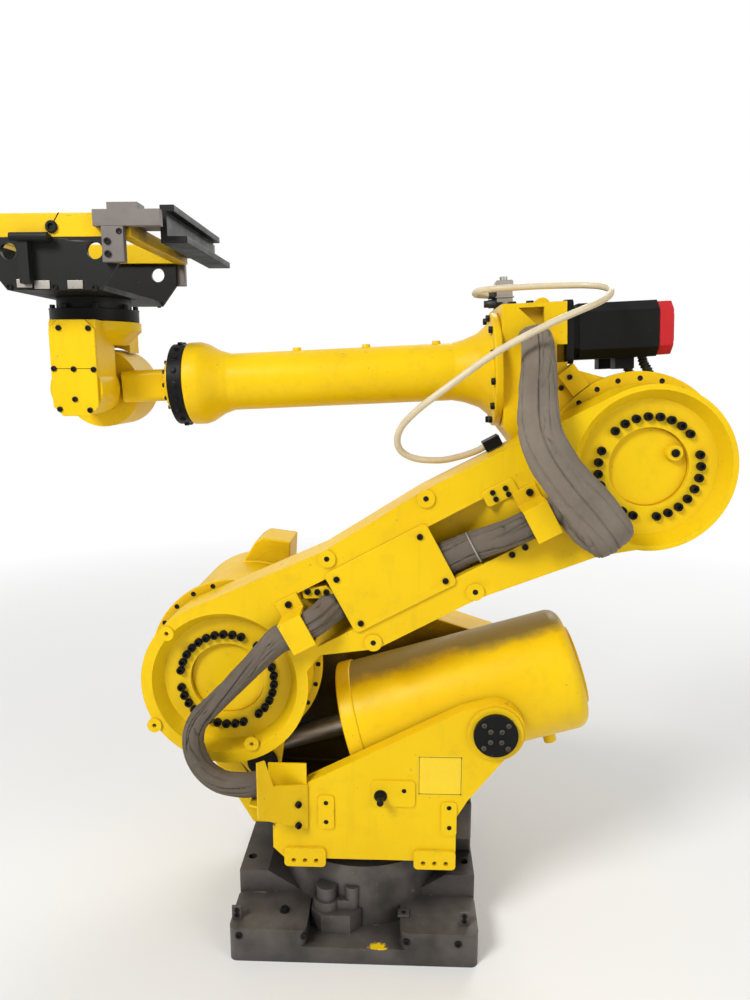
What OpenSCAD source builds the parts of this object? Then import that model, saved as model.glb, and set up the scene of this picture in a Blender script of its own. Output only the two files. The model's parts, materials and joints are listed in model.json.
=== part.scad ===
// Six-axis industrial robot arm with a gripping frame on its wrist, folded as for transport.
// The origin lies on the first axis at floor level, +X ahead, +Y to the left and +Z up.

/* [Reach] */
// First axis forward to the shoulder axis
shoulder_x = 312; // [300:1:330]
// Height of the shoulder axis over the floor
shoulder_z = 670; // [660:1:690]
// Shoulder axis to elbow axis
lower_arm_len = 1075; // [1060:1:1120]
// Elbow axis up to the forearm's own axis
elbow_rise = 225; // [220:1:240]
// Elbow axis forward to the wrist's bending axis
forearm_len = 1290; // [1270:1:1350]
// Wrist's bending axis to the tool face
tool_reach = 215; // [210:1:230]

/* [Folded pose] */
// Slope of the lower arm in degrees, down towards the front
arm_slope = 28.1; // [27:0.1:29]
// Droop of the forearm in degrees, towards the wrist
forearm_droop = 2.6; // [2:0.1:3]

/* [Base] */
// First axis to the front edge of the base plate
base_front = 308; // [290:1:340]
// First axis to the back edge of the base plate
base_back = 282; // [270:1:330]
// Width of the base plate
base_w = 610; // [600:1:700]
// Thickness of the base plate
base_plate_t = 42; // [30:1:60]
// Height of the four corner pads
pad_h = 85; // [70:1:110]
// Radius of the base cone at the plate
cone_r = 232; // [224:1:265]
// Radius of the base cone at its top
cone_top_r = 222; // [200:1:235]
// Height of the top of the cone
cone_top_z = 196; // [170:1:200]
// Height of the turning joint over the floor
turn_z = 228; // [224:1:240]
// Height of the shoulders beside the cone
base_body_z = 142; // [120:1:150]
// Radius of the anchor holes
anchor_r = 11; // [8:0.5:14]
// Distance between the anchor holes, front to back
anchor_len = 545; // [530:1:555]
// Distance between the anchor holes across
anchor_w = 230; // [200:1:260]

/* [Turret] */
// Thickness of the turning table
table_t = 62; // [50:1:80]
// Thickness of the balancer's near cheek
cheek_t = 38; // [25:1:38]
// Radius of the shoulder gear housing
gear_r = 200; // [190:1:205]
// Radius of the gear flanges at shoulder and elbow
gear_flange_r = 214; // [205:1:216]
// Radius of the black trunnion cap
trunnion_cap_r = 51; // [46:1:60]
// Radius of the balancer's trunnion pins
trunnion_r = 36; // [25:1:40]

/* [Lower arm] */
// Depth of the lower arm, side to side
arm_depth = 117; // [100:1:117]
// Radius of the lower arm's shoulder hub
hub2_r = 195; // [188:1:200]
// Radius of the lower arm's elbow hub
hub3_r = 181; // [175:1:190]
// Radius of the round covers in the hubs
hub_cover_r = 87; // [75:1:95]
// Depth of the channel along the arm
channel_depth = 68; // [66:1:80]
// Length of the cover plate
cover_len = 257; // [200:1:280]
// Height of the cover plate
cover_h = 155; // [145:1:165]

/* [Balancer] */
// Radius of the balancer cylinder
balancer_r = 150; // [140:1:152]
// Wall of the balancer cylinder
balancer_wall = 22; // [15:1:30]
// Balancer length ahead of the trunnions
balancer_ahead = 350; // [320:1:360]
// Balancer length behind the trunnions
balancer_behind = 232; // [200:1:260]
// Radius of the balancer's rod
rod_r = 27; // [20:1:32]
// Radius of the pin that holds the rod
rod_pin_r = 26; // [20:1:28]

/* [Forearm] */
// Radius of the forearm tube
tube_r = 69; // [60:1:80]
// Radius of the flange at the forearm's root
root_flange_r = 135; // [120:1:140]
// Radius of the collar at the wrist end
collar_r = 100; // [90:1:105]
// Radius of the black ring at the wrist end
ring_r = 98; // [90:1:104]

/* [Wrist] */
// Radius of the wrist's bending joint
bend_r = 97; // [85:1:100]
// Width of the wrist housing, front to back
wrist_w = 108; // [90:1:112]
// Radius of the wrist's top flange
wrist_flange_r = 108; // [100:1:110]
// Radius of the tool adapter
adapter_r = 87; // [70:1:95]

/* [Gripping frame] */
// Depth of the frame, side to side
frame_depth = 430; // [400:1:460]
// Width of the frame's floor
frame_floor_w = 206; // [180:1:220]
// Width of the frame's end plates at the top
frame_w = 290; // [270:1:310]
// Height of the frame's end plates
frame_h = 110; // [100:1:130]
// Thickness of the frame's plates
frame_plate_t = 12; // [8:1:16]

/* [Cords] */
// Diameter of the fabric sleeve over the cables
sleeve_d = 64; // [50:1:70]
// Diameter of the air hose
hose_d = 15; // [12:1:20]

/* [Hidden] */
$fn = 64;
over = 1;           // overrun of every cut
seat_gap = 0.3;     // faces and pins that turn against each other
clear = 6;          // free space round what moves

// Where the planes of the arm lie, from side to side
arm_in_y = 128;
arm_out_y = arm_in_y + arm_depth;
cheek_in_y = arm_out_y - cheek_t;
cheek_out_y = arm_out_y;
tower_in_y = -112;
tower_t = 140;
tower_out_y = tower_in_y - tower_t;
gear_y = 100;
balancer_y = 48;

// Rest places of the axes, as X and Z
shoulder = [shoulder_x, shoulder_z];
elbow = shoulder + lower_arm_len * [-cos(arm_slope), sin(arm_slope)];
wrist = elbow + elbow_rise * [sin(forearm_droop), cos(forearm_droop)]
    + forearm_len * [cos(forearm_droop), -sin(forearm_droop)];

// Balancer linkage: the rod pin on the arm, the trunnion on the turret
rod_pin_back = 65;
rod_pin_drop = 245;
rod_pin = shoulder - [rod_pin_back, rod_pin_drop];
trunnion = [-314, 562];
balancer_rise = 26;
link = rod_pin - trunnion;
link_len = sqrt(norm(link) * norm(link) - balancer_rise * balancer_rise);
link_angle = atan2(link[1], link[0]) - atan2(balancer_rise, link_len);

// Places along the arm where the sleeve is held, from the shoulder and from the elbow
lower_clamp_x = -228;
upper_clamp_back = 265;
upper_clamp_x = -lower_arm_len + upper_clamp_back;
clamp_len = 56;
sleeve_z0 = 44;
sleeve_z1 = 22;
clamp_y = arm_out_y + sleeve_d / 2 + seat_gap;
plug_back = 275;
plug_len = 40;
plug_y = 150;
plug_rise = 199;
function on_arm(x, y, z) = [shoulder_x + x * cos(arm_slope) + z * sin(arm_slope), y,
    shoulder_z - x * sin(arm_slope) + z * cos(arm_slope)];

// Routes of the cords at rest
lower_loop = [[232, 286, 446], [262, 290, 446], [302, 295, 444], [345, 295, 454],
    [373, 295, 487], [380, 295, 533], [364, 295, 580], [331, 297, 630], [288, 298, 680], [249, 295, 724],
    [216, 286, 760], on_arm(lower_clamp_x + clamp_len, clamp_y, sleeve_z0),
    on_arm(lower_clamp_x + clamp_len / 2 + 2 * seat_gap, clamp_y, sleeve_z0)];
sleeve_end_x = upper_clamp_x - clamp_len / 2 - 2 * seat_gap;
upper_loop = [[-392, 100.5, 1462], [-392, 150, 1462], [-387, 205, 1435], [-382, 255, 1390],
    [-382, 296, 1330], [-391, 320, 1263], [-416, 333, 1205], [-457, 337, 1149], [-503, 337, 1095],
    [-537, 332, 1050], [-549, 310, 1027], [-531, 292, 1031], [-488, 284, 1049],
    on_arm(sleeve_end_x - clamp_len / 2, clamp_y, sleeve_z1),
    on_arm(sleeve_end_x, clamp_y, sleeve_z1)];
upper_loop_w = [64, 66, 70, 74, 80, 88, 98, 106, 110, 108, 100, 90, 76, 62, 60];
upper_loop_t = [44, 44, 44, 44, 44, 44, 44, 44, 44, 42, 38, 40, 48, 58, 60];
hose_route = [[-332.5, -129, 1576], [-297, -129, 1574.4], [-262, -100, 1574], [-246, -48, 1574],
    [-258, 6, 1574], [-293, 44, 1574], [-340, 62, 1575], [-400, 68, 1577], [-460, 74, 1578],
    [-510, 90, 1577], [-541, 122, 1570], [-544, 164, 1554], [-496, 208, 1522], [-403, 256, 1482],
    [-298, 278, 1427], [-196, 274, 1355], [-123, 252, 1297], [-88, 228, 1250], [-94, 207, 1212],
    [-130, 187, 1192], [-182, 166, 1185], [-226, 154, 1191],
    on_arm(-lower_arm_len + plug_back + plug_len, plug_y, plug_rise),
    on_arm(-lower_arm_len + plug_back + plug_len / 2 + seat_gap, plug_y, plug_rise)];

// Height of the cheek's lowest edge
cheek_tab_z = 214;

// Shared shapes

// A flat outline drawn in X and Z, as a slab between two planes
module side_slab(y0, y1)
    translate([0, y1, 0]) rotate([90, 0, 0]) linear_extrude(y1 - y0) children();

// A round bar across, between two planes
module y_bar(r, y0, y1)
    side_slab(y0, y1) circle(r);

// A round bar along X
module x_bar(r, x0, x1)
    translate([x0, 0, 0]) rotate([0, 90, 0]) cylinder(r = r, h = x1 - x0);

// A block between two corners
module block(low, high)
    translate(low) cube(high - low);

// A rectangle with round corners about the origin
module soft_rect(w, h, r) {
    square([w, h - 2 * r], center = true);
    square([w - 2 * r, h], center = true);
    for (sx = [-1, 1], sy = [-1, 1])
        translate([sx * (w / 2 - r), sy * (h / 2 - r)]) circle(r);
}

// Two discs and the flat band between them, just inside their tangents
module belt(p1, r1, p2, r2) {
    d = p2 - p1;
    way = atan2(d[1], d[0]);
    lean = acos((r1 - r2) / norm(d));
    translate(p1) circle(r1);
    translate(p2) circle(r2);
    polygon([for (e = [[p1, r1, lean], [p2, r2, lean], [p2, r2, -lean], [p1, r1, -lean]])
        e[0] + (e[1] - seat_gap) * [cos(way + e[2]), sin(way + e[2])]]);
}

// Servo motor along +Z: flange, square body with a waist, connector
motor_w = 132;
motor_flange_rim = 9;
motor_flange_w = motor_w + 2 * motor_flange_rim;
motor_flange_t = 16;
motor_corner_r = 14;
motor_waist = 6;
cap_corner_share = 1.18;
motor_plug_w = 44;
motor_plug_h = 40;
module cut_square(w) intersection() {
    square(w, center = true);
    rotate(45) square(cap_corner_share * w, center = true);
}
module motor(len, w) {
    linear_extrude(motor_flange_t)
        soft_rect(w + 2 * motor_flange_rim, w + 2 * motor_flange_rim, motor_corner_r);
    linear_extrude(len) cut_square(w - 2 * motor_waist);
    translate([0, 0, 2 * motor_flange_t]) linear_extrude(len - 2 * motor_flange_t) cut_square(w);
    translate([0, w / 2 - motor_corner_r, len - 2 * motor_plug_w])
        linear_extrude(motor_plug_w) translate([0, motor_plug_h / 2])
            square([motor_plug_w, motor_plug_h], center = true);
}

// End cap of a motor, a stepped lid with cut corners
motor_cap_t = 34;
module motor_cap(w) {
    linear_extrude(motor_cap_t) cut_square(w - motor_waist);
    linear_extrude(motor_cap_t + motor_waist) cut_square(w - 6 * motor_waist);
}

// A tube with an oval section, swept through a list of points; width and thickness may be lists
tube_sides = 10;
function way_at(p, i) =
    unit(p[min(i + 1, len(p) - 1)] - p[max(i - 1, 0)]);
function unit(v) = v / norm(v);
function size_at(w, i) = is_list(w) ? w[i] : w;
function side_at(p, i) = let (f = way_at(p, i))
    i > 0 ? let (s = side_at(p, i - 1)) unit(s - (s * f) * f)
    : unit(cross(abs(f[1]) < norm([f[0], f[2]]) ? [0, 1, 0] : [0, 0, 1], f));
function ring_at(p, i, w, t) =
    let (a = side_at(p, i), b = cross(way_at(p, i), a))
    [for (k = [0 : tube_sides - 1])
        p[i] + size_at(w, i) / 2 * cos(360 * k / tube_sides) * a
            + size_at(t, i) / 2 * sin(360 * k / tube_sides) * b];
module swept_tube(p, w, t) {
    rings = len(p);
    points = [for (i = [0 : rings - 1]) each ring_at(p, i, w, t)];
    sides = [for (i = [0 : rings - 2], k = [0 : tube_sides - 1])
        let (n = (k + 1) % tube_sides)
        [i * tube_sides + k, i * tube_sides + n, (i + 1) * tube_sides + n, (i + 1) * tube_sides + k]];
    first = [for (k = [tube_sides - 1 : -1 : 0]) k];
    last = [for (k = [0 : tube_sides - 1]) (rings - 1) * tube_sides + k];
    polyhedron(points, concat([first], sides, [last]));
}

// Frames of the moving links

// Shoulder axis at the origin, the elbow at minus the arm's length along X
module arm_frame() translate([shoulder[0], 0, shoulder[1]]) rotate([0, arm_slope, 0]) children();

// Elbow axis at the origin, the forearm along X
module forearm_frame() translate([elbow[0], 0, elbow[1]]) rotate([0, forearm_droop, 0]) children();

// Bending axis of the wrist at the origin, the tool upward
module wrist_frame() translate([wrist[0], 0, wrist[1]]) children();

// Centre of the tool face at the origin
module tool_frame() wrist_frame() translate([0, 0, tool_reach]) children();

// Trunnion at the origin, the rod along X
module balancer_frame()
    translate([trunnion[0], balancer_y, trunnion[1]]) rotate([0, -link_angle, 0]) children();

// Base

pad_len = 184;
pad_w = 135;
pad_corner_r = 18;
body_flat = 72;
body_slope = 78;
body_mid_z = 92;
base_mid = (base_front - base_back) / 2;
base_len = base_front + base_back;
body_w = base_w - 2 * pad_w;
module base_body() side_slab(-body_w / 2, body_w / 2)
    polygon([[-base_back, 0], [base_front, 0], [base_front, base_body_z],
        [base_front - body_flat, base_body_z], [base_front - body_flat - body_slope, body_mid_z],
        [-base_back + body_flat + body_slope, body_mid_z], [-base_back + body_flat, base_body_z],
        [-base_back, base_body_z]]);
module base_casting() color("dimgray") difference() {
    union() {
        translate([base_mid, 0, 0]) linear_extrude(base_plate_t)
            soft_rect(base_len, base_w, pad_corner_r);
        for (sx = [-1, 1], sy = [-1, 1])
            translate([base_mid + sx * (base_len - pad_len) / 2, sy * (base_w - pad_w) / 2, 0])
                linear_extrude(pad_h) soft_rect(pad_len, pad_w, pad_corner_r);
        base_body();
        cylinder(r1 = cone_r, r2 = cone_top_r, h = cone_top_z);
    }
    for (sx = [-1, 1], sy = [-1, 1])
        translate([base_mid + sx * anchor_len / 2, sy * anchor_w / 2, -over])
            cylinder(r = anchor_r, h = base_body_z + 2 * over);
}

// Connector box on the back of the base
box_t = 44;
box_w = 150;
box_top_z = cheek_tab_z - clear;
module base_rear_box() color("dimgray") difference() {
    block([-base_back + 2 * over, -box_w / 2, base_body_z], [-cone_top_r, box_w / 2, box_top_z]);
    cylinder(r1 = cone_r + over, r2 = cone_top_r + over, h = cone_top_z);
    translate([0, 0, cone_top_z]) cylinder(r = cone_top_r + over, h = turn_z);
}

// Stop for the first axis, a stepped casting on the near side of the base
stop_x = 58;
stop_back = 14;
stop_y = cone_r - stop_back;
stop_w = 122;
stop_d = 82;
stop_cut = 26;
stop_foot_h = 48;
stop_neck_h = 24;
stop_neck_r = 33;
stop_boss_r = 25;
stop_boss_h = 32;
stop_boss_shift = 24;
stop_pin_r = 19;
stop_pin_shift = 38;
module cut_rect(w, d, cut) polygon([[-w / 2 + cut, -d / 2], [w / 2 - cut, -d / 2], [w / 2, -d / 2 + cut],
    [w / 2, d / 2 - cut], [w / 2 - cut, d / 2], [-w / 2 + cut, d / 2], [-w / 2, d / 2 - cut],
    [-w / 2, -d / 2 + cut]]);
module turn_stop() color("dimgray")
    difference() {
        translate([stop_x, stop_y, base_plate_t]) {
            linear_extrude(stop_foot_h) cut_rect(stop_w, stop_d, stop_cut);
            translate([stop_boss_shift, 0, 0]) {
                cylinder(r = stop_neck_r, h = stop_foot_h + stop_neck_h);
                cylinder(r = stop_boss_r, h = stop_foot_h + stop_neck_h + stop_boss_h);
            }
            translate([-stop_pin_shift, 0, 0])
                cylinder(r = stop_pin_r, h = stop_foot_h + stop_neck_h + stop_boss_h);
            linear_extrude(stop_foot_h + stop_neck_h)
                translate([-stop_pin_shift, -stop_pin_r]) square([stop_pin_shift, 2 * stop_pin_r]);
        }
        cylinder(r1 = cone_r + over, r2 = cone_top_r + over, h = cone_top_z);
    }

// Fixed ring of the turning bearing
bearing_r = 200;
bearing_bore_r = 120;
module turn_bearing() color("gray") difference() {
    translate([0, 0, cone_top_z]) cylinder(r = bearing_r, h = turn_z - seat_gap - cone_top_z);
    cylinder(r = bearing_bore_r, h = turn_z + over);
}

// Turret

table_top_z = turn_z + table_t;
table_front = 285;
table_back = 228;
table_r = 205;
web_w = 70;
web_top_angle = -20;
web_low_angle = -78;
tower_end_r = 108;
peak = [[-6, 253], [-27, 267], [-105, 257]];
peak_back_angle = 120;
peak_front_angle = 82;
j1_motor_x = -60;
j1_motor_y = -340;
function on_gear(a) = shoulder + gear_r * [cos(a), sin(a)];
module turret_casting() color("gold") difference() {
    union() {
        translate([0, 0, turn_z]) linear_extrude(table_t) {
            circle(table_r);
            translate([-table_back, tower_out_y])
                square([table_back + table_front - web_w, cheek_in_y - tower_out_y]);
            translate([0, tower_out_y]) square([table_front, gear_y - tower_out_y]);
            translate([j1_motor_x - motor_flange_w / 2, j1_motor_y - motor_flange_w / 2])
                square([motor_flange_w, tower_in_y - j1_motor_y]);
        }
        side_slab(tower_out_y, tower_in_y) {
            belt(trunnion, tower_end_r, shoulder, gear_r);
            polygon([[-table_back, turn_z], [table_front, turn_z],
                on_gear(web_top_angle), shoulder, trunnion]);
            polygon(concat([on_gear(peak_front_angle)], [for (p = peak) shoulder + p],
                [on_gear(peak_back_angle)]));
        }
        translate([shoulder[0], 0, shoulder[1]]) y_bar(gear_r, tower_in_y - over, gear_y);
        side_slab(tower_in_y - over, gear_y)
            polygon([[table_front - web_w, turn_z], [table_front, turn_z],
                on_gear(web_top_angle), on_gear(web_low_angle)]);
    }
    translate([trunnion[0], 0, trunnion[1]])
        y_bar(trunnion_r + seat_gap, tower_in_y - tower_t / 2, tower_in_y + over);
}

// Flange of a gear, the seat of the lower arm: a wide ring and a smaller core
flange_t = 15;
flange_core_r = 176;
module gear_flange(r) {
    y_bar(r, gear_y, gear_y + flange_t);
    y_bar(flange_core_r, gear_y, arm_in_y - seat_gap);
}
module shoulder_gear_flange() color("gold")
    translate([shoulder[0], 0, shoulder[1]]) gear_flange(gear_flange_r);

// Near cheek of the balancer, bolted to the table by two tabs
cheek_nose = [124, 427];
cheek_top = [-235, 612];
cheek_heel = [-255, 392];
cheek_back = -228;
cheek_back_z = 346;
cheek_low_z = 232;
cheek_front = 207;
cheek_front_z = 300;
cheek_cut = 27;
cheek_end_r = 70;
cheek_turn = 70;
cheek_boss_r = 64;
cheek_boss_t = 8;
cheek_tab_w = 99;
cheek_tab_h = 48;
cheek_tab_rise = 7;
cheek_tab_r = 10;
cheek_pads = [[79, 355, 38, 86], [-80, 406, 102, 66], [-211, 344, 36, 86]];
cheek_pad_r = 9;
cheek_pad_t = 4;
tab_hole_r = 5.5;
tab_hole_step = 27;
module near_cheek() color("gold") difference() {
    union() {
        side_slab(cheek_in_y, cheek_out_y) {
            translate(trunnion) circle(cheek_end_r);
            polygon([[cheek_front, cheek_front_z], cheek_nose, cheek_top,
                trunnion + (cheek_end_r - seat_gap) * [cos(cheek_turn), sin(cheek_turn)],
                trunnion - (cheek_end_r - seat_gap) * [cos(cheek_turn), sin(cheek_turn)],
                cheek_heel, [cheek_back, cheek_back_z], [cheek_back, cheek_low_z],
                [cheek_front - cheek_cut, cheek_low_z], [cheek_front, cheek_low_z + cheek_cut]]);
        }
        side_slab(cheek_in_y, cheek_out_y + cheek_tab_rise)
            for (x = [cheek_back, cheek_front - cheek_cut - cheek_tab_w])
                translate([x + cheek_tab_w / 2, cheek_tab_z + cheek_tab_h / 2])
                    soft_rect(cheek_tab_w, cheek_tab_h, cheek_tab_r);
        side_slab(cheek_out_y - over, cheek_out_y + cheek_pad_t)
            for (p = cheek_pads) translate([p[0], p[1]]) soft_rect(p[2], p[3], cheek_pad_r);
        translate([trunnion[0], 0, trunnion[1]])
            y_bar(cheek_boss_r, cheek_out_y - over, cheek_out_y + cheek_boss_t);
    }
    translate([trunnion[0], 0, trunnion[1]])
        y_bar(trunnion_r + seat_gap, cheek_in_y - over, cheek_out_y + cheek_boss_t + over);
    for (x = [cheek_back, cheek_front - cheek_cut - cheek_tab_w], k = [-1, 0, 1])
        translate([x + cheek_tab_w / 2 + k * tab_hole_step, 0, cheek_tab_z + cheek_tab_h / 3])
            y_bar(tab_hole_r, cheek_out_y - cheek_t / 2, cheek_out_y + cheek_tab_rise + over);
}

// Black cap over the near trunnion
trunnion_cap_t = 12;
module trunnion_cap() color("black")
    translate([trunnion[0], 0, trunnion[1]])
        y_bar(trunnion_cap_r, cheek_out_y + cheek_boss_t, cheek_out_y + cheek_boss_t + trunnion_cap_t);

// Sheet bracket that guides the fabric sleeve on the turret: slanted panel, shelf and back plate
bracket_t = 5;
bracket_x = 124;
bracket_len = 130;
bracket_angle = 38.4;
bracket_tab = 40;
bracket_side = [[0, 311], [0, 425], [bracket_len - bracket_tab, 452],
    [bracket_len - bracket_tab / 2, 520], [bracket_len, 520], [bracket_len, 384]];
shelf_z = lower_loop[0][2] - sleeve_d / 2 - seat_gap;
shelf_end_x = 246;
shelf_end_y = 318;
shelf_tip = [bracket_x, cheek_out_y] + bracket_len * [cos(bracket_angle), sin(bracket_angle)];
back_low_z = 395;
back_top_z = 478;
back_end_x = 214;
module cable_bracket() color("gold") {
    translate([bracket_x, cheek_out_y + over, 0]) rotate([0, 0, bracket_angle])
        side_slab(-over, bracket_t - over) polygon(bracket_side);
    translate([0, 0, shelf_z - bracket_t]) linear_extrude(bracket_t)
        polygon([[bracket_x, cheek_out_y], [shelf_end_x, cheek_out_y],
            [shelf_end_x, shelf_end_y], shelf_tip]);
    block([bracket_x, cheek_out_y, back_low_z], [back_end_x, cheek_out_y + bracket_t, back_top_z]);
}

// Grey cable box on the back of the turret
module turret_rear_box() color("dimgray")
    block([-table_back - box_t, -box_w / 2, turn_z + clear],
        [-table_back, cheek_in_y - box_t, table_top_z + box_t]);

// Motors of the first two axes
j1_motor_len = 215;
j2_motor_len = 205;
module at_j1_motor() translate([j1_motor_x, j1_motor_y, table_top_z]) rotate([0, 0, 180]) children();
module at_j2_motor() translate([shoulder[0], tower_out_y, shoulder[1]]) rotate([90, 0, 0]) children();
module turret_motors() color("dimgray") {
    at_j1_motor() motor(j1_motor_len, motor_w);
    at_j2_motor() motor(j2_motor_len, motor_w);
}
module turret_motor_caps() color("firebrick") {
    at_j1_motor() translate([0, 0, j1_motor_len]) motor_cap(motor_w);
    at_j2_motor() translate([0, 0, j2_motor_len]) motor_cap(motor_w);
}

// Lower arm

arm_top = 170;
arm_low = -86;
arm_root_share = 0.33;
arm_tip_share = 0.57;
throat_deep = [-232, -40];
throat_front = [-162, -71];
throat_hub = [-104, -151];
tip_back = 183;
tip_low = -121;
channel_top = 112;
channel_low = -20;
channel_from = -236;
channel_x0 = -318;
channel_x1 = -650;
channel_to = -760;
hub_recess_out = 170;
hub_recess_in = 150;
hub_recess_t = 32;
hub_seat_t = 20;
hub_floor_y = arm_out_y - hub_recess_t;
hub_bosses = [[56, 168], [196, -12], [15, -156]];
hub_boss_r = 17;
hub_boss_hole_r = 5;
hub_boss_t = 60;
lobe_r = 46;
lobe_t = 16;
arm_boss_r = 20;
arm_boss_t = 5;
arm_boss_inset = 18;
module arm_outline() {
    circle(hub2_r);
    translate([-lower_arm_len, 0]) circle(hub3_r);
    polygon([[0, hub2_r], [-arm_root_share * lower_arm_len, arm_top],
        [-arm_tip_share * lower_arm_len, arm_top + arm_boss_inset], [-lower_arm_len, hub3_r],
        [-lower_arm_len, -hub3_r], [-lower_arm_len + tip_back, tip_low],
        [-arm_tip_share * lower_arm_len, arm_low],
        [-arm_root_share * lower_arm_len, arm_low], throat_deep, throat_front, throat_hub, [0, -hub2_r]]);
}
// Cut for a hub's dished front and the seat of its cover
module hub_dish(x) translate([x, 0, 0]) {
    translate([0, hub_floor_y, 0]) rotate([-90, 0, 0])
        cylinder(r1 = hub_recess_in, r2 = hub_recess_out, h = hub_recess_t + over);
    y_bar(hub_cover_r + seat_gap, hub_floor_y - hub_seat_t, arm_out_y);
}
pin_in_arm = [-rod_pin_back * cos(arm_slope) + rod_pin_drop * sin(arm_slope),
    -rod_pin_back * sin(arm_slope) - rod_pin_drop * cos(arm_slope)];
module lower_arm_casting() color("gold") arm_frame() difference() {
    union() {
        side_slab(arm_in_y, arm_out_y) arm_outline();
        side_slab(arm_in_y, arm_in_y + lobe_t)
            belt([0, 0], hub2_r - lobe_r, pin_in_arm, lobe_r);
        for (p = hub_bosses) translate([p[0], 0, p[1]])
            y_bar(hub_boss_r, arm_out_y - hub_boss_t, arm_out_y + arm_boss_t);
        for (p = [[-arm_root_share, arm_top - arm_boss_inset], [-arm_tip_share, arm_top],
                [-arm_tip_share, arm_low + arm_boss_inset], [-arm_root_share, arm_low + arm_boss_inset]])
            translate([p[0] * lower_arm_len, 0, p[1]])
                y_bar(arm_boss_r, arm_out_y - over, arm_out_y + arm_boss_t);
    }
    hub_dish(0);
    hub_dish(-lower_arm_len);
    for (p = hub_bosses) translate([p[0], 0, p[1]])
        y_bar(hub_boss_hole_r, arm_out_y - hub_boss_t / 2, arm_out_y + hub_boss_t);
    translate([0, 0, channel_low]) linear_extrude(channel_top - channel_low)
        polygon([[channel_from, arm_out_y + over], [channel_from, arm_out_y],
            [channel_x0, arm_out_y - channel_depth], [channel_x1, arm_out_y - channel_depth],
            [channel_to, arm_out_y], [channel_to, arm_out_y + over]]);
    translate([pin_in_arm[0], 0, pin_in_arm[1]])
        y_bar(rod_pin_r + seat_gap, arm_in_y - over, arm_in_y + lobe_t + over);
}

hub_cover_t = 7;
module hub_cover(x) arm_frame() translate([x, 0, 0])
    y_bar(hub_cover_r, hub_floor_y - hub_seat_t, hub_floor_y - hub_seat_t + hub_cover_t);
module shoulder_cover() color("gold") hub_cover(0);
module elbow_cover() color("gold") hub_cover(-lower_arm_len);

// Plate over the middle of the channel
cover_t = 6;
cover_x = -459;
cover_corner_r = 12;
module arm_cover_plate() color("gold") arm_frame()
    side_slab(arm_out_y, arm_out_y + cover_t)
        translate([cover_x, (channel_top + channel_low) / 2]) soft_rect(cover_len, cover_h, cover_corner_r);

// Straps that hold the sleeve on the arm, bent round it with a foot on either side
strap_t = 6;
strap_foot = 34;
strap_in = sleeve_d / 2 + seat_gap;
strap_out = strap_in + strap_t;
module sleeve_strap(x, z) arm_frame() translate([x - clamp_len / 2, 0, 0]) rotate([90, 0, 90])
    linear_extrude(clamp_len) difference() {
        union() {
            translate([arm_out_y, z - strap_out]) square([clamp_y - arm_out_y + strap_out, 2 * strap_out]);
            translate([arm_out_y, z - strap_out]) square([strap_t, 2 * strap_out + strap_foot]);
        }
        translate([arm_out_y - over, z - strap_in])
            square([clamp_y - arm_out_y + strap_in + over, 2 * strap_in]);
    }
module lower_sleeve_clamp() color("gold") sleeve_strap(lower_clamp_x, sleeve_z0);
module upper_sleeve_clamp() color("gold") sleeve_strap(upper_clamp_x, sleeve_z1);

flat_w = 76;
flat_t = 50;
sleeve_y = arm_out_y - flat_t / 2 - 4 * over;
dive_steps = [[-263, 276], [-298, 242], [-323, 217]];
ramp_steps = [[-640, 222], [-690, 247], [-735, 272], [-768, clamp_y]];
middle_w = [64, 64, 64, 68, 74, flat_w, flat_w, flat_w, 72, 68, 64, 64, 64, 64];
middle_t = [64, 64, 63, 56, flat_t, flat_t, flat_t, flat_t, 52, 56, 62, 64, 64, 64];
module sleeve_middle() color("gray") arm_frame()
    swept_tube(concat([[lower_clamp_x + clamp_len / 2, clamp_y, sleeve_z0],
        [lower_clamp_x, clamp_y, sleeve_z0]],
        [for (p = dive_steps) [p[0], p[1], sleeve_z0]],
        [[cover_x + cover_len / 2 - 2 * clear, sleeve_y, sleeve_z0],
        [cover_x, sleeve_y, (sleeve_z0 + sleeve_z1) / 2],
        [cover_x - cover_len / 2 - clear, sleeve_y, sleeve_z1]],
        [for (p = ramp_steps) [p[0], p[1], sleeve_z1]],
        [[upper_clamp_x, clamp_y, sleeve_z1], [upper_clamp_x - clamp_len / 2, clamp_y, sleeve_z1]]),
        middle_w, middle_t);

// Black connectors on the arm's top edge, the end of the air hose
plug_x = -lower_arm_len + plug_back;
plug_w = 48;
plug_h = 24;
module arm_connectors() color("black") arm_frame()
    block([plug_x - plug_len / 2, plug_y - plug_w / 2 + clear, arm_top + arm_boss_inset],
        [plug_x + plug_len / 2, plug_y + plug_w / 2, arm_top + arm_boss_inset + plug_h]);

// Pin between the lower arm and the balancer's rod
pin_cap_r = 38;
pin_cap_t = 8;
rod_eye_t = 56;
module rod_pin() color("black") translate([rod_pin[0], 0, rod_pin[1]]) {
    y_bar(rod_pin_r, balancer_y - rod_eye_t / 2 - pin_cap_t, arm_in_y + lobe_t);
    y_bar(pin_cap_r, arm_in_y + lobe_t, arm_in_y + lobe_t + pin_cap_t);
}

// Balancer

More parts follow.
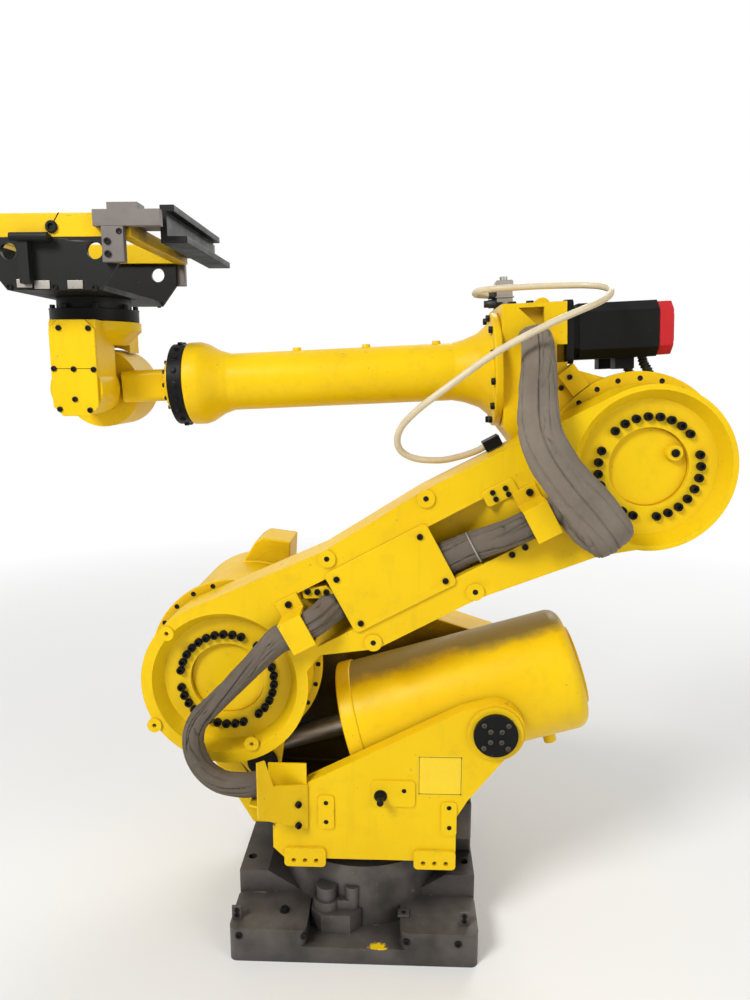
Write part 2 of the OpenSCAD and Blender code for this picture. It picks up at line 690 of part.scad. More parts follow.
mouth_r = 116;
end_round = 34;
end_cap_r = 96;
end_cap_t = 9;
collar_t = 38;
nozzle_r = 16;
nozzle_len = 34;
nozzle_x = -128;
module balancer_cylinder() color("gold") balancer_frame() {
    difference() {
        union() {
            translate([-balancer_behind, 0, balancer_rise]) rotate([0, 90, 0])
                rotate_extrude() {
                    square([balancer_r - end_round, balancer_behind + balancer_ahead - collar_t]);
                    translate([0, end_round])
                        square([balancer_r, balancer_behind + balancer_ahead - collar_t - end_round]);
                    translate([balancer_r - end_round, end_round]) circle(end_round);
                }
            translate([0, 0, balancer_rise])
                x_bar(end_cap_r, -balancer_behind - end_cap_t, -balancer_behind + over);
            y_bar(trunnion_r, tower_in_y - balancer_y - tower_t / 2 + clear,
                cheek_out_y - balancer_y - seat_gap);
            translate([nozzle_x, 0, balancer_rise - balancer_r - nozzle_len])
                cylinder(r = nozzle_r, h = 2 * nozzle_len);
        }
        translate([0, 0, balancer_rise])
            x_bar(balancer_r - balancer_wall, trunnion_r + balancer_wall, balancer_ahead + over);
    }
}
module balancer_collar() color("gold") balancer_frame() translate([0, 0, balancer_rise]) difference() {
    x_bar(balancer_r + balancer_wall / 6, balancer_ahead - collar_t, balancer_ahead);
    x_bar(mouth_r, balancer_ahead - collar_t - over, balancer_ahead + over);
}

// Rod with its eye, free in the mouth of the cylinder
rod_eye_r = 41;
rod_inside = 58;
module balancer_rod() color("silver") balancer_frame() translate([0, 0, balancer_rise]) difference() {
    union() {
        x_bar(rod_r, balancer_ahead - collar_t - rod_inside + clear, link_len);
        translate([link_len, 0, 0]) y_bar(rod_eye_r, -rod_eye_t / 2, rod_eye_t / 2);
    }
    translate([link_len, 0, 0]) y_bar(rod_pin_r + seat_gap, -rod_eye_t, rod_eye_t);
}

// Elbow and forearm

elbow_far_y = -150;
elbow_gear_r = 190;
casting_front = 300;
casting_back = 152;
casting_top = 372;
lug_x = 180;
lug_w = 44;
lug_h = 26;
lug_t = 24;
lug_hole_r = 9;
lug_tip_r = 20;
heel_angle = 136;
chin_angle = -37;
lug_y = -70;
wrist_motor_z = 304;
wrist_motor_w = 128;
pocket = [[204, 10], [262, 10], [204, 66]];
pocket_t = 26;
hook_r = 240;
hook_angle = 54;
hook_w = 44;
hook_h = 60;
hook_t = 14;
step_w = 24;
step_low_z = 236;
step_high_z = 276;
step_t = 36;
module elbow_casting() color("gold") forearm_frame() difference() {
    union() {
        y_bar(elbow_gear_r, elbow_far_y, gear_y);
        side_slab(elbow_far_y, gear_y)
            polygon([[casting_front, elbow_rise - root_flange_r], [casting_front, casting_top],
                [casting_back, casting_top], [casting_back, wrist_motor_z - motor_flange_w / 2 - clear],
                elbow_gear_r * [cos(heel_angle), sin(heel_angle)], [0, 0],
                elbow_gear_r * [cos(chin_angle), sin(chin_angle)]]);
        rotate([0, -hook_angle, 0]) translate([hook_r - hook_h / 2, gear_y - lug_t, -hook_w / 2])
            cube([hook_h, lug_t + hook_t, hook_w]);
        side_slab(lug_y - lug_t / 2, lug_y + lug_t / 2)
            belt([lug_x, casting_top], lug_w / 2, [lug_x, casting_top + lug_h - lug_w / 2], lug_tip_r);
    }
    translate([lug_x, lug_y, casting_top + lug_h - lug_w / 2]) y_bar(lug_hole_r, -lug_t, lug_t);
    side_slab(gear_y - pocket_t, gear_y + over) polygon([for (p = pocket) [p[0], casting_top - p[1]]]);
    block([casting_back - over, gear_y - step_t, step_low_z],
        [casting_back + step_w, gear_y + over, step_high_z]);
}
module elbow_gear_flange() color("gold") forearm_frame() gear_flange(gear_flange_r - clear);

// Forearm tube turned about its axis: root flange, flare, tube and collar
root_flange_t = 20;
flare_root_r = 113;
flare_mid_r = 89;
flare_tip_r = 75;
flare_mid = 28;
flare_tip = 64;
flare_len = 92;
neck_r = 77;
shoulder_r = 95;
neck_back = 78;
shoulder_back = 47;
collar_back = 31;
collar_len = 104;
ring_back = 236;
ring_front = 200;
ring_x0 = forearm_len - ring_back;
ring_x1 = forearm_len - ring_front;
tube_end = ring_x0 - casting_front;
module forearm_tube() color("gold")
    forearm_frame() translate([casting_front, 0, elbow_rise]) rotate([0, 90, 0]) rotate_extrude()
        polygon([[0, 0], [root_flange_r, 0], [root_flange_r, root_flange_t], [flare_root_r, root_flange_t],
            [flare_mid_r, root_flange_t + flare_mid], [flare_tip_r, root_flange_t + flare_tip],
            [tube_r, root_flange_t + flare_len], [tube_r, tube_end - collar_len],
            [neck_r, tube_end - neck_back], [shoulder_r, tube_end - shoulder_back],
            [collar_r, tube_end - collar_back], [collar_r, tube_end], [0, tube_end]]);
module forearm_end_ring() color("black") forearm_frame() translate([0, 0, elbow_rise])
    x_bar(ring_r, ring_x0, ring_x1 - seat_gap);

// Valve block on top of the casting
valve_x0 = 245;
valve_x1 = 285;
valve_y = -129;
valve_w = 40;
valve_h = 76;
module valve_block() color("silver") forearm_frame() translate([0, valve_y, 0]) {
    block([valve_x0, -valve_w / 2, casting_top], [valve_x1, valve_w / 2, casting_top + valve_h]);
    translate([(valve_x0 + valve_x1) / 2, 0, casting_top + valve_h])
        cylinder(r = valve_w / 4, h = valve_w / 4);
}

// Motors of the other axes: two behind the casting, one on the far side
wrist_motor_len = 212;
wrist_motor_y = 22;
elbow_motor_len = 180;
module at_wrist_motors()
    for (y = [wrist_motor_y, wrist_motor_y - motor_flange_w - clear])
        translate([casting_back, y, wrist_motor_z]) rotate([0, -90, 0]) rotate([0, 0, 90]) children();
module at_elbow_motor() translate([0, elbow_far_y, 0]) rotate([90, 0, 0]) children();
module elbow_motors() color("dimgray") forearm_frame() {
    at_wrist_motors() motor(wrist_motor_len, wrist_motor_w);
    at_elbow_motor() motor(elbow_motor_len, motor_w);
}
module elbow_motor_caps() color("firebrick") forearm_frame() {
    at_wrist_motors() translate([0, 0, wrist_motor_len]) motor_cap(wrist_motor_w);
    at_elbow_motor() translate([0, 0, elbow_motor_len]) motor_cap(motor_w);
}

// Wrist

wrist_cap_r = 78;
wrist_cap_t = 8;
wrist_cone_r = 52;
wrist_cone_t = 14;
bend_far_y = -160;
bend_in_y = -14;
stub_y0 = -72;
stub_y1 = 20;
stub_half_h = 39;
stub_corner_r = 16;
stub_back = 66;
module wrist_arm() color("gold") forearm_frame() translate([0, 0, elbow_rise]) {
    translate([ring_x1, 0, 0]) rotate([0, 90, 0]) {
        cylinder(r = wrist_cap_r, h = wrist_cap_t);
        translate([0, 0, wrist_cap_t]) cylinder(r1 = wrist_cap_r, r2 = wrist_cone_r, h = wrist_cone_t);
    }
    translate([ring_x1 + over, (stub_y0 + stub_y1) / 2, 0]) rotate([90, 0, 90])
        linear_extrude(ring_front - stub_back) soft_rect(stub_y1 - stub_y0, 2 * stub_half_h, stub_corner_r);
    translate([forearm_len, 0, 0]) y_bar(bend_r, bend_far_y, bend_in_y);
}

wrist_out_y = 134;
wrist_near_y = stub_y1 + clear;
wrist_low = 62;
wrist_boss_r = 58;
wrist_throat_r = 70;
wrist_throat_z = 104;
wrist_flange_z0 = 138;
wrist_flange_z1 = 158;
wrist_far_y = -143;
bridge_clear_r = 120;
module wrist_bridge(r) difference() {
    translate([-wrist_w / 2, 0]) square([wrist_w, wrist_flange_z1]);
    circle(r);
}
module wrist_housing() color("gold") wrist_frame() {
    side_slab(wrist_near_y, wrist_out_y) {
        circle(wrist_low);
        translate([-wrist_w / 2, 0]) square([wrist_w, wrist_flange_z1]);
    }
    y_bar(wrist_boss_r, bend_in_y + seat_gap, wrist_near_y + over);
    side_slab(wrist_far_y, wrist_near_y + over) wrist_bridge(bridge_clear_r);
    side_slab(wrist_far_y, stub_y0 - clear) wrist_bridge(bend_r + clear);
    translate([0, 0, wrist_throat_z])
        cylinder(r1 = wrist_throat_r, r2 = wrist_flange_r, h = wrist_flange_z0 - wrist_throat_z);
    translate([0, 0, wrist_flange_z0]) cylinder(r = wrist_flange_r, h = wrist_flange_z1 - wrist_flange_z0);
}
side_cover_t = 8;
side_cover_cut = 22;
module wrist_side_cover() color("gold") wrist_frame()
    side_slab(wrist_out_y, wrist_out_y + side_cover_t)
        difference() {
            translate([-wrist_w / 2, -wrist_low]) square([wrist_w, wrist_low + wrist_flange_z1]);
            for (sx = [-1, 1], z = [-wrist_low, wrist_flange_z1])
                translate([sx * wrist_w / 2, z]) rotate(45) square(side_cover_cut * sqrt(2), center = true);
        }

// Tool flange and adapter
tool_flange_t = 30;
tool_flange_r = 104;
module tool_flange() color("black") wrist_frame() translate([0, 0, wrist_flange_z1 + seat_gap])
    cylinder(r = tool_flange_r, h = tool_flange_t);
module tool_adapter() color("dimgray") wrist_frame()
    translate([0, 0, wrist_flange_z1 + seat_gap + tool_flange_t])
        cylinder(r = adapter_r, h = tool_reach - wrist_flange_z1 - seat_gap - tool_flange_t);

// Gripping frame

bar_h = 50;
bar_t = 25;
frame_hole_r = 18;
frame_hole_x = 95;
frame_hole_z = 82;
frame_chamfer_h = 55;
module end_plate_outline() difference() {
    polygon([[-frame_floor_w / 2, 0], [frame_floor_w / 2, 0], [frame_w / 2, frame_chamfer_h],
        [frame_w / 2, frame_h], [-frame_w / 2, frame_h], [-frame_w / 2, frame_chamfer_h]]);
    for (s = [-1, 1]) translate([s * frame_hole_x, frame_hole_z]) circle(frame_hole_r);
}
module frame_plates() color("dimgray") tool_frame() {
    block([-frame_floor_w / 2, -frame_depth / 2, 0], [frame_floor_w / 2, frame_depth / 2, frame_plate_t]);
    side_slab(frame_depth / 2 - frame_plate_t, frame_depth / 2) end_plate_outline();
    side_slab(-frame_depth / 2, -frame_depth / 2 + frame_plate_t) end_plate_outline();
}
module frame_bars() color("gold") tool_frame()
    for (s = [-1, 1])
        block([-frame_w / 2, min(s * frame_depth / 2, s * (frame_depth / 2 - bar_t)), frame_h],
            [frame_w / 2, max(s * frame_depth / 2, s * (frame_depth / 2 - bar_t)), frame_h + bar_h]);
beam_w = 30;
module frame_side_beams() color("gold") tool_frame()
    for (s = [-1, 1])
        block([s * (frame_w / 2 + beam_w / 2) - beam_w / 2, -frame_depth / 2, frame_h],
            [s * (frame_w / 2 + beam_w / 2) + beam_w / 2, frame_depth / 2, frame_h + beam_w]);

// Channel rails on both sides, held by the top bars
rail_x = 232;
rail_t = 15;
rail_low = 100;
rail_high = 180;
rail_top_w = 32;
rail_low_w = 58;
rail_set_back = 60;
module frame_rails() color("dimgray") tool_frame()
    for (s = [0, 1]) mirror([s, 0, 0]) side_slab(-frame_depth / 2, frame_depth / 2 - rail_set_back)
        polygon([[-rail_x, rail_low], [-rail_x - rail_low_w, rail_low],
            [-rail_x - rail_low_w, rail_low + rail_t], [-rail_x - rail_t, rail_low + rail_t],
            [-rail_x - rail_t, rail_high - rail_t], [-rail_x - rail_top_w, rail_high - rail_t],
            [-rail_x - rail_top_w, rail_high], [-rail_x, rail_high]]);
clamp_block_w = 48;
clamp_block_h = 74;
clamp_block_t = 18;
clamp_block_x = -142;
clamp_block_low = 55;
module frame_clamp_blocks() color("gray") tool_frame()
    for (s = [0, 1]) mirror([0, s, 0])
        block([clamp_block_x - clamp_block_w / 2, frame_depth / 2, clamp_block_low],
            [clamp_block_x + clamp_block_w / 2, frame_depth / 2 + clamp_block_t,
                clamp_block_low + clamp_block_h]);

// Bars that tie the rails to the frame, with a face plate over each clamp block
top_bar_t = 22;
top_bar_w = 110;
face_x0 = -246;
face_x1 = -101;
face_h = 34;
ridge_x0 = -199;
ridge_x1 = -133;
ridge_h = 14;
ridge_w = 46;
module frame_top_bars() color("gray") tool_frame() {
    for (sx = [0, 1], sy = [0, 1]) mirror([sx, 0, 0]) mirror([0, sy, 0])
        block([-rail_x, frame_depth / 2 - top_bar_w, frame_h + beam_w],
            [-frame_w / 2, frame_depth / 2, frame_h + beam_w + top_bar_t]);
    for (s = [0, 1]) mirror([0, s, 0]) {
        block([face_x0, frame_depth / 2, clamp_block_low + clamp_block_h],
            [face_x1, frame_depth / 2 + clamp_block_t, clamp_block_low + clamp_block_h + face_h]);
        block([ridge_x0, frame_depth / 2 + clamp_block_t - ridge_w, frame_h + bar_h],
            [ridge_x1, frame_depth / 2 + clamp_block_t, clamp_block_low + clamp_block_h + face_h + ridge_h]);
    }
}

// Hand clamp on the near plate: a post and a round handle across its top
lever_x = 53;
lever_w = 22;
lever_t = 20;
lever_h = 96;
handle_r = 9;
handle_x0 = -4;
handle_x1 = 78;
module frame_lever() color("dimgray") tool_frame() translate([0, frame_depth / 2, frame_plate_t]) {
    block([lever_x - lever_w / 2, 0, 0], [lever_x + lever_w / 2, lever_t, lever_h]);
    translate([0, lever_t, lever_h]) x_bar(handle_r, handle_x0, handle_x1);
    translate([handle_x0 + handle_r, 0, lever_h]) y_bar(handle_r, 0, lever_t);
}

// Cords

module sleeve_lower_loop() color("gray") swept_tube(lower_loop, sleeve_d, sleeve_d);
module sleeve_upper_loop() color("gray") swept_tube(upper_loop, upper_loop_w, upper_loop_t);
module air_hose() color("wheat") swept_tube(hose_route, hose_d, hose_d);

base_casting();
base_rear_box();
turn_stop();
turn_bearing();
turret_casting();
shoulder_gear_flange();
near_cheek();
trunnion_cap();
cable_bracket();
turret_rear_box();
turret_motors();
turret_motor_caps();
lower_arm_casting();
shoulder_cover();
elbow_cover();
arm_cover_plate();
lower_sleeve_clamp();
upper_sleeve_clamp();
sleeve_middle();
arm_connectors();
rod_pin();
balancer_cylinder();
balancer_collar();
balancer_rod();
elbow_casting();
elbow_gear_flange();
forearm_tube();
forearm_end_ring();
valve_block();
elbow_motors();
elbow_motor_caps();
wrist_arm();
wrist_housing();
wrist_side_cover();
tool_flange();
tool_adapter();
frame_plates();
frame_bars();
frame_side_beams();
frame_rails();
frame_clamp_blocks();
frame_top_bars();
frame_lever();
sleeve_lower_loop();
sleeve_upper_loop();
air_hose();
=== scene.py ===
import bpy
import bmesh
import json
import math
from mathutils import Matrix, Vector, noise
from mathutils.bvhtree import BVHTree


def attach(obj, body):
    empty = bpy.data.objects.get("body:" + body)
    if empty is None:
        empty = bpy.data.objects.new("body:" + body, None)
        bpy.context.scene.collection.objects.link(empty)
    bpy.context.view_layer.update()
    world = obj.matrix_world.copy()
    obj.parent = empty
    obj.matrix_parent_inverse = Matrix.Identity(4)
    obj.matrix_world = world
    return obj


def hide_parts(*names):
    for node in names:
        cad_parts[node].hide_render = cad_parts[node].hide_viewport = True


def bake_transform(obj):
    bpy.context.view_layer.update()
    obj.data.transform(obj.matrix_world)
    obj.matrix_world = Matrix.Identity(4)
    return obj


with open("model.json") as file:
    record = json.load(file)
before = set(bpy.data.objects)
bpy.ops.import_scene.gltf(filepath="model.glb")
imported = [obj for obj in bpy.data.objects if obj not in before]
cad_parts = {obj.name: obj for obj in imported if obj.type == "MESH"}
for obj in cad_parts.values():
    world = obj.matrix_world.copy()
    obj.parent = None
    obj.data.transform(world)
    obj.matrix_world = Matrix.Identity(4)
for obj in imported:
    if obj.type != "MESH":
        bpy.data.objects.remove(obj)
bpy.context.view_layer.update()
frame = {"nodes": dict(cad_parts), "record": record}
NODE = frame["nodes"]
MM = 0.001

# Camera of the photograph, fitted to the link lengths
CAMERA_AT = Vector((-0.101, 1.871, 1.381))
SENSOR_MM = 36
LENS_MM = 27.04
yaw = math.radians(2.26)
pitch = math.radians(9.64)
right = Vector((-math.cos(yaw), -math.sin(yaw), 0))
ahead = Vector((math.sin(yaw) * math.cos(pitch), -math.cos(yaw) * math.cos(pitch), -math.sin(pitch)))
up = right.cross(ahead)
cam_data = bpy.data.cameras.new("camera")
cam_data.sensor_width = SENSOR_MM
cam_data.lens = LENS_MM
cam = bpy.data.objects.new("camera", cam_data)
cam.matrix_world = Matrix(((right.x, up.x, -ahead.x, CAMERA_AT.x), (right.y, up.y, -ahead.y, CAMERA_AT.y),
                           (right.z, up.z, -ahead.z, CAMERA_AT.z), (0, 0, 0, 1)))
bpy.context.scene.collection.objects.link(cam)
bpy.context.scene.camera = cam


# Frames of the links, in millimetres to world metres
SHOULDER = (312, 670)
LOWER_ARM_LEN = 1075
ARM_SLOPE = 28.1
FOREARM_LEN = 1290
FORE_SLOPE = 2.6
FORE_AXIS_Z = 225
TOOL_RISE = 215
TRUNNION = (-314, 562)
BALANCER_SLOPE = 16.3


def turned(origin, degrees):
    c, s = math.cos(math.radians(degrees)), math.sin(math.radians(degrees))

    def place(x, y, z):
        return Vector(((origin[0] + x * c + z * s) * MM, y * MM, (origin[1] - x * s + z * c) * MM))
    return place


def pivot(place, x, z):
    """A joint's place on a link, as X and Z in millimetres."""
    at = place(x, 0, z) / MM
    return at.x, at.z


arm = turned(SHOULDER, ARM_SLOPE)
ELBOW = pivot(arm, -LOWER_ARM_LEN, 0)
fore = turned(ELBOW, FORE_SLOPE)
WRIST = pivot(fore, FOREARM_LEN, FORE_AXIS_Z)
wrist = turned(WRIST, 0)
tool = turned((WRIST[0], WRIST[1] + TOOL_RISE), 0)
balance = turned(TRUNNION, BALANCER_SLOPE)
world = turned((0, 0), 0)
NEAR = Vector((0, 1, 0))
FAR = Vector((0, -1, 0))
UP = Vector((0, 0, 1))
FRONT = Vector((1, 0, 0))


def axes(place):
    origin = place(0, 0, 0)
    return (place(1, 0, 0) - origin).normalized(), (place(0, 0, 1) - origin).normalized()


ARM_X, ARM_Z = axes(arm)
FORE_X, FORE_Z = axes(fore)
BAL_Z = axes(balance)[1]


# Materials

class Mat:
    """A node material with short helpers."""

    def __init__(self, name):
        self.m = bpy.data.materials.new(name)
        self.m.use_nodes = True
        self.t = self.m.node_tree
        self.b = self.t.nodes["Principled BSDF"]
        self.co = self.node("ShaderNodeTexCoord").outputs["Object"]

    def node(self, kind, **props):
        n = self.t.nodes.new(kind)
        for k, v in props.items():
            setattr(n, k, v)
        return n

    def put(self, socket, value):
        if isinstance(value, bpy.types.NodeSocket):
            self.t.links.new(value, socket)
        else:
            socket.default_value = value

    def set(self, **values):
        for k, v in values.items():
            self.put(self.b.inputs[k.replace("_", " ")], v)

    def stretch(self, x, y, z):
        n = self.node("ShaderNodeMapping")
        self.put(n.inputs["Vector"], self.co)
        n.inputs["Scale"].default_value = (x, y, z)
        return n.outputs["Vector"]

    def noise(self, scale, detail=4.0, rough=0.55, vec=None, warp=0.0):
        n = self.node("ShaderNodeTexNoise")
        self.put(n.inputs["Vector"], vec or self.co)
        n.inputs["Scale"].default_value = scale
        n.inputs["Detail"].default_value = detail
        n.inputs["Roughness"].default_value = rough
        n.inputs["Distortion"].default_value = warp
        return n.outputs["Fac"]

    def wave(self, scale, vec=None, warp=0.0):
        n = self.node("ShaderNodeTexWave")
        self.put(n.inputs["Vector"], vec or self.co)
        n.inputs["Scale"].default_value = scale
        n.inputs["Distortion"].default_value = warp
        return n.outputs["Fac"]

    def vector(self, how, a, b):
        n = self.node("ShaderNodeVectorMath", operation=how)
        self.put(n.inputs[0], a)
        self.put(n.inputs[1], b)
        return n.outputs["Value"]

    def away(self, at):
        """Distance from a place on the object."""
        return self.vector("DISTANCE", self.co, at)

    def along(self, way):
        """How far a point lies along a direction."""
        return self.vector("DOT_PRODUCT", self.co, way)

    def span(self, value, low, high, to_low=0.0, to_high=1.0):
        n = self.node("ShaderNodeMapRange")
        self.put(n.inputs["Value"], value)
        n.inputs["From Min"].default_value = low
        n.inputs["From Max"].default_value = high
        n.inputs["To Min"].default_value = to_low
        n.inputs["To Max"].default_value = to_high
        return n.outputs["Result"]

    def math(self, how, a, b):
        n = self.node("ShaderNodeMath", operation=how)
        self.put(n.inputs[0], a)
        self.put(n.inputs[1], b)
        return n.outputs["Value"]

    def most(self, first, *rest):
        for value in rest:
            first = self.math("MAXIMUM", first, value)
        return first

    def mix(self, share, a, b):
        n = self.node("ShaderNodeMix", data_type="RGBA")
        self.put(n.inputs["Factor"], share)
        ins = [s for s in n.inputs if s.type == "RGBA"]
        self.put(ins[0], a if isinstance(a, bpy.types.NodeSocket) else (*a, 1))
        self.put(ins[1], b if isinstance(b, bpy.types.NodeSocket) else (*b, 1))
        return [s for s in n.outputs if s.type == "RGBA"][0]

    def edges(self, radius):
        """1 along sharp edges, 0 on flats."""
        bev = self.node("ShaderNodeBevel", samples=4)
        bev.inputs["Radius"].default_value = radius
        geo = self.node("ShaderNodeNewGeometry")
        alike = self.vector("DOT_PRODUCT", bev.outputs["Normal"], geo.outputs["Normal"])
        return self.span(alike, 0.985, 0.86)

    def open_air(self, distance, samples=8):
        """1 in the open, 0 where everything near closes a place in."""
        n = self.node("ShaderNodeAmbientOcclusion", samples=samples)
        n.inputs["Distance"].default_value = distance
        return n.outputs["AO"]

    def hollows(self, distance):
        """1 deep in corners, 0 in the open."""
        return self.span(self.open_air(distance, 4), 0.85, 0.25)

    def bump(self, height, strength, distance):
        n = self.node("ShaderNodeBump")
        n.inputs["Strength"].default_value = strength
        n.inputs["Distance"].default_value = distance
        self.put(n.inputs["Height"], height)
        self.put(self.b.inputs["Normal"], n.outputs["Normal"])


def paint(name, colour, deep, bare_and_shadow, rough, chips=0.55, dirt_and_shade=0.5, metal=0.0, grain=0.25, worn_at=None,
          stain=None, shine=0.15, patch=3.1, gloom=0.0):
    """Enamel on a casting: uneven film, grime and streaks, painted shade in corners and deep recesses, chips,
    scratches, places rubbed through, stained places, with the painted shadow and shade that the functions
    passed in add.
    """
    m = Mat(name)
    film = m.mix(m.span(m.noise(patch, 3), 0.35, 0.7), colour, deep)
    grime = m.span(m.noise(21, 8, 0.62), 0.52, 0.78)
    streak = m.span(m.noise(9, 6, 0.6, m.stretch(4.0, 4.0, 0.5)), 0.56, 0.8)
    # Painted shade in corners, patchy; it joins the real grime and streaks below.
    corner_shade = m.math("MULTIPLY", m.hollows(0.05), m.span(m.noise(9, 5), 0.25, 0.75, 0.35, 1.0))
    dirt_and_corner_shade = m.most(m.math("MULTIPLY", grime, dirt_and_shade * 0.35), m.math("MULTIPLY", streak, dirt_and_shade * 0.3),
                  m.math("MULTIPLY", corner_shade, dirt_and_shade))
    film = m.mix(dirt_and_corner_shade, film, tuple(0.16 * c + 0.03 for c in colour))
    # Painted shade in deep recesses, darkest where the parts close round a place.
    if gloom:
        film = m.mix(m.span(m.open_air(0.4), 0.8, 0.35, 0.0, gloom), film, tuple(0.2 * c for c in deep))
    edge = m.math("MULTIPLY", m.edges(0.004), m.span(m.noise(34, 6, 0.7), 0.56, 0.64))
    scratch = m.span(m.noise(60, 3, 0.5, m.stretch(0.12, 0.5, 1.0), 0.6), 0.735, 0.76)
    fleck = m.span(m.noise(88, 2, 0.5), 0.745, 0.765)
    # Chips, scratches and flecks; for the balancer this also takes a painted shadow along its top.
    worn = m.math("MULTIPLY", m.most(edge, scratch, fleck), chips)
    if worn_at:
        worn = m.most(worn, worn_at(m))
    tone = m.mix(worn, film, bare_and_shadow)
    if stain:
        share, tint = stain(m)
        tone = m.mix(share, tone, tint)
    m.set(Base_Color=tone, Metallic=metal, Specular_IOR_Level=shine,
          Roughness=m.span(m.noise(14, 6, 0.6), 0.3, 0.75, rough - 0.09, rough + 0.13))
    height = m.math("ADD", m.math("MULTIPLY", m.noise(260, 3), grain),
                    m.math("ADD", m.math("MULTIPLY", m.noise(38, 4), 0.35), m.math("MULTIPLY", worn, -0.3)))
    m.bump(height, 0.22, 0.002)
    return m.m


YELLOW = (0.85, 0.56, 0.005)
DEEP_YELLOW = (0.78, 0.49, 0.005)
BARE = (0.20, 0.16, 0.10)
GREY = (0.175, 0.155, 0.140)
DARK_GREY = (0.055, 0.048, 0.042)
RUST = (0.24, 0.18, 0.13)
# Primer tone of the balancer's chips, also the tone of the painted shadow along its top.
PRIMER_AND_SHADOW = (0.20, 0.165, 0.06)
# Near-black of the painted shade inside the turret and frame.
INNER_SHADE = (0.016, 0.013, 0.008)
BALANCER_AXIS = balance(0, 48, 26)
BALANCER_R = 0.150
PAINT_SPLASH = world(-46, 300, 47)
SPLASH_SHAPE = (0.45, 0.6, 1.5)


def balancer_top_shadow(m):
    """Painted shadow of the lower arm along the top of the balancer, in the primer tone."""
    height = m.math("SUBTRACT", m.along(BAL_Z), BALANCER_AXIS.dot(BAL_Z))
    ragged = m.math("ADD", height, m.math("MULTIPLY", m.noise(7, 5, 0.6), 0.05))
    return m.math("MULTIPLY", m.span(ragged, 0.99 * BALANCER_R, 1.09 * BALANCER_R), 0.8)


def splash(m):
    """A spill of yellow paint on the base's front edge."""
    flat = m.vector("DISTANCE", m.stretch(*SPLASH_SHAPE), Vector(SPLASH_SHAPE) * PAINT_SPLASH)
    ragged = m.math("ADD", flat, m.math("MULTIPLY", m.noise(120, 5), 0.012))
    return m.span(ragged, 0.0185, 0.0165), YELLOW


def turret_inner_shade(m):
    """Painted shade that darkens the inside of the turret, patchy, deepest where the parts close round a
    place.
    """
    patchy = m.math("ADD", m.open_air(0.5), m.span(m.noise(8, 5), 0.3, 0.7, -0.06, 0.06))
    return m.span(patchy, 0.50, 0.24, 0.0, 0.93), INNER_SHADE


def yellow_paint(name, bare_and_shadow=BARE, **places):
    return paint(name, YELLOW, DEEP_YELLOW, bare_and_shadow, rough=0.36, chips=0.5, dirt_and_shade=0.42, **places)


def grey_paint(name, **places):
    # Grey with painted shade in its deep recesses.
    return paint(name, GREY, DARK_GREY, RUST, rough=0.42, chips=0.5, dirt_and_shade=0.8, grain=0.5, shine=0.3, patch=8,
                 gloom=0.8, **places)


yellow = yellow_paint("yellow_paint")
# The balancer's paint, with a painted shadow of the arm along its top.
balancer_yellow = yellow_paint("balancer_paint", PRIMER_AND_SHADOW, worn_at=balancer_top_shadow)
# Yellow with painted shade inside the turret and frame.
inner_shade_yellow = yellow_paint("inner_shade_paint", stain=turret_inner_shade)
grey = grey_paint("grey_paint")
base_grey = grey_paint("base_paint", stain=splash)
black = paint("black_steel", (0.008, 0.008, 0.008), (0.013, 0.013, 0.013), (0.10, 0.095, 0.09),
              rough=0.42, chips=0.4, dirt_and_shade=0.2, metal=0.3, shine=0.1)
motor_black = paint("motor_black", (0.006, 0.006, 0.006), (0.010, 0.010, 0.010), (0.07, 0.07, 0.07),
                    rough=0.44, chips=0.25, dirt_and_shade=0.25, shine=0.1)
motor_red = paint("motor_red", (0.56, 0.020, 0.024), (0.46, 0.016, 0.02), (0.25, 0.10, 0.09),
                  rough=0.4, chips=0.25, dirt_and_shade=0.3)
steel = paint("bare_steel", (0.40, 0.37, 0.33), (0.29, 0.26, 0.23), (0.12, 0.09, 0.07),
              rough=0.38, chips=0.4, dirt_and_shade=0.6, metal=0.85)
tool_dark = paint("tool_dark", (0.018, 0.018, 0.017), (0.011, 0.011, 0.011), (0.17, 0.15, 0.13),
                  rough=0.46, chips=0.6, dirt_and_shade=0.3, metal=0.2)
tool_grey = paint("tool_grey", (0.20, 0.18, 0.165), (0.13, 0.115, 0.105), (0.34, 0.31, 0.28),
                  rough=0.5, chips=0.5, dirt_and_shade=0.7, metal=0.4)
bolt_black = paint("bolt_black", (0.010, 0.010, 0.010), (0.016, 0.015, 0.014), (0.09, 0.07, 0.05),
                   rough=0.4, chips=0.3, dirt_and_shade=0.3, metal=0.4)
bolt_zinc = paint("bolt_zinc", (0.12, 0.105, 0.085), (0.08, 0.07, 0.055), (0.05, 0.035, 0.025),
                  rough=0.42, chips=0.4, dirt_and_shade=0.5, metal=0.8)
label = paint("bare_label", (0.88, 0.62, 0.03), (0.84, 0.57, 0.03), (0.5, 0.4, 0.2),
              rough=0.3, chips=0.3, dirt_and_shade=0.25, grain=0.1)


def cloth(name, colour, deep):
    m = Mat(name)
    weave = m.math("MULTIPLY", m.wave(190, m.stretch(1, 1, 1)), m.wave(190, m.stretch(1, -1, 1)))
    tone = m.mix(m.span(m.noise(6.5, 6, 0.6), 0.3, 0.72), colour, deep)
    # Painted shade in the creases of the sleeve.
    tone = m.mix(m.math("MULTIPLY", m.hollows(0.02), 0.6), tone, tuple(0.35 * c for c in deep))
    dust = m.span(m.noise(70, 5, 0.7), 0.6, 0.85, 0.0, 0.35)
    tone = m.mix(dust, tone, tuple(min(1, 1.9 * c) for c in colour))
    m.set(Base_Color=tone, Roughness=m.span(m.noise(30, 4), 0.3, 0.7, 0.72, 0.92), Specular_IOR_Level=0.2)
    m.bump(m.math("ADD", m.math("MULTIPLY", weave, 0.35), m.noise(120, 4)), 0.3, 0.002)
    return m.m


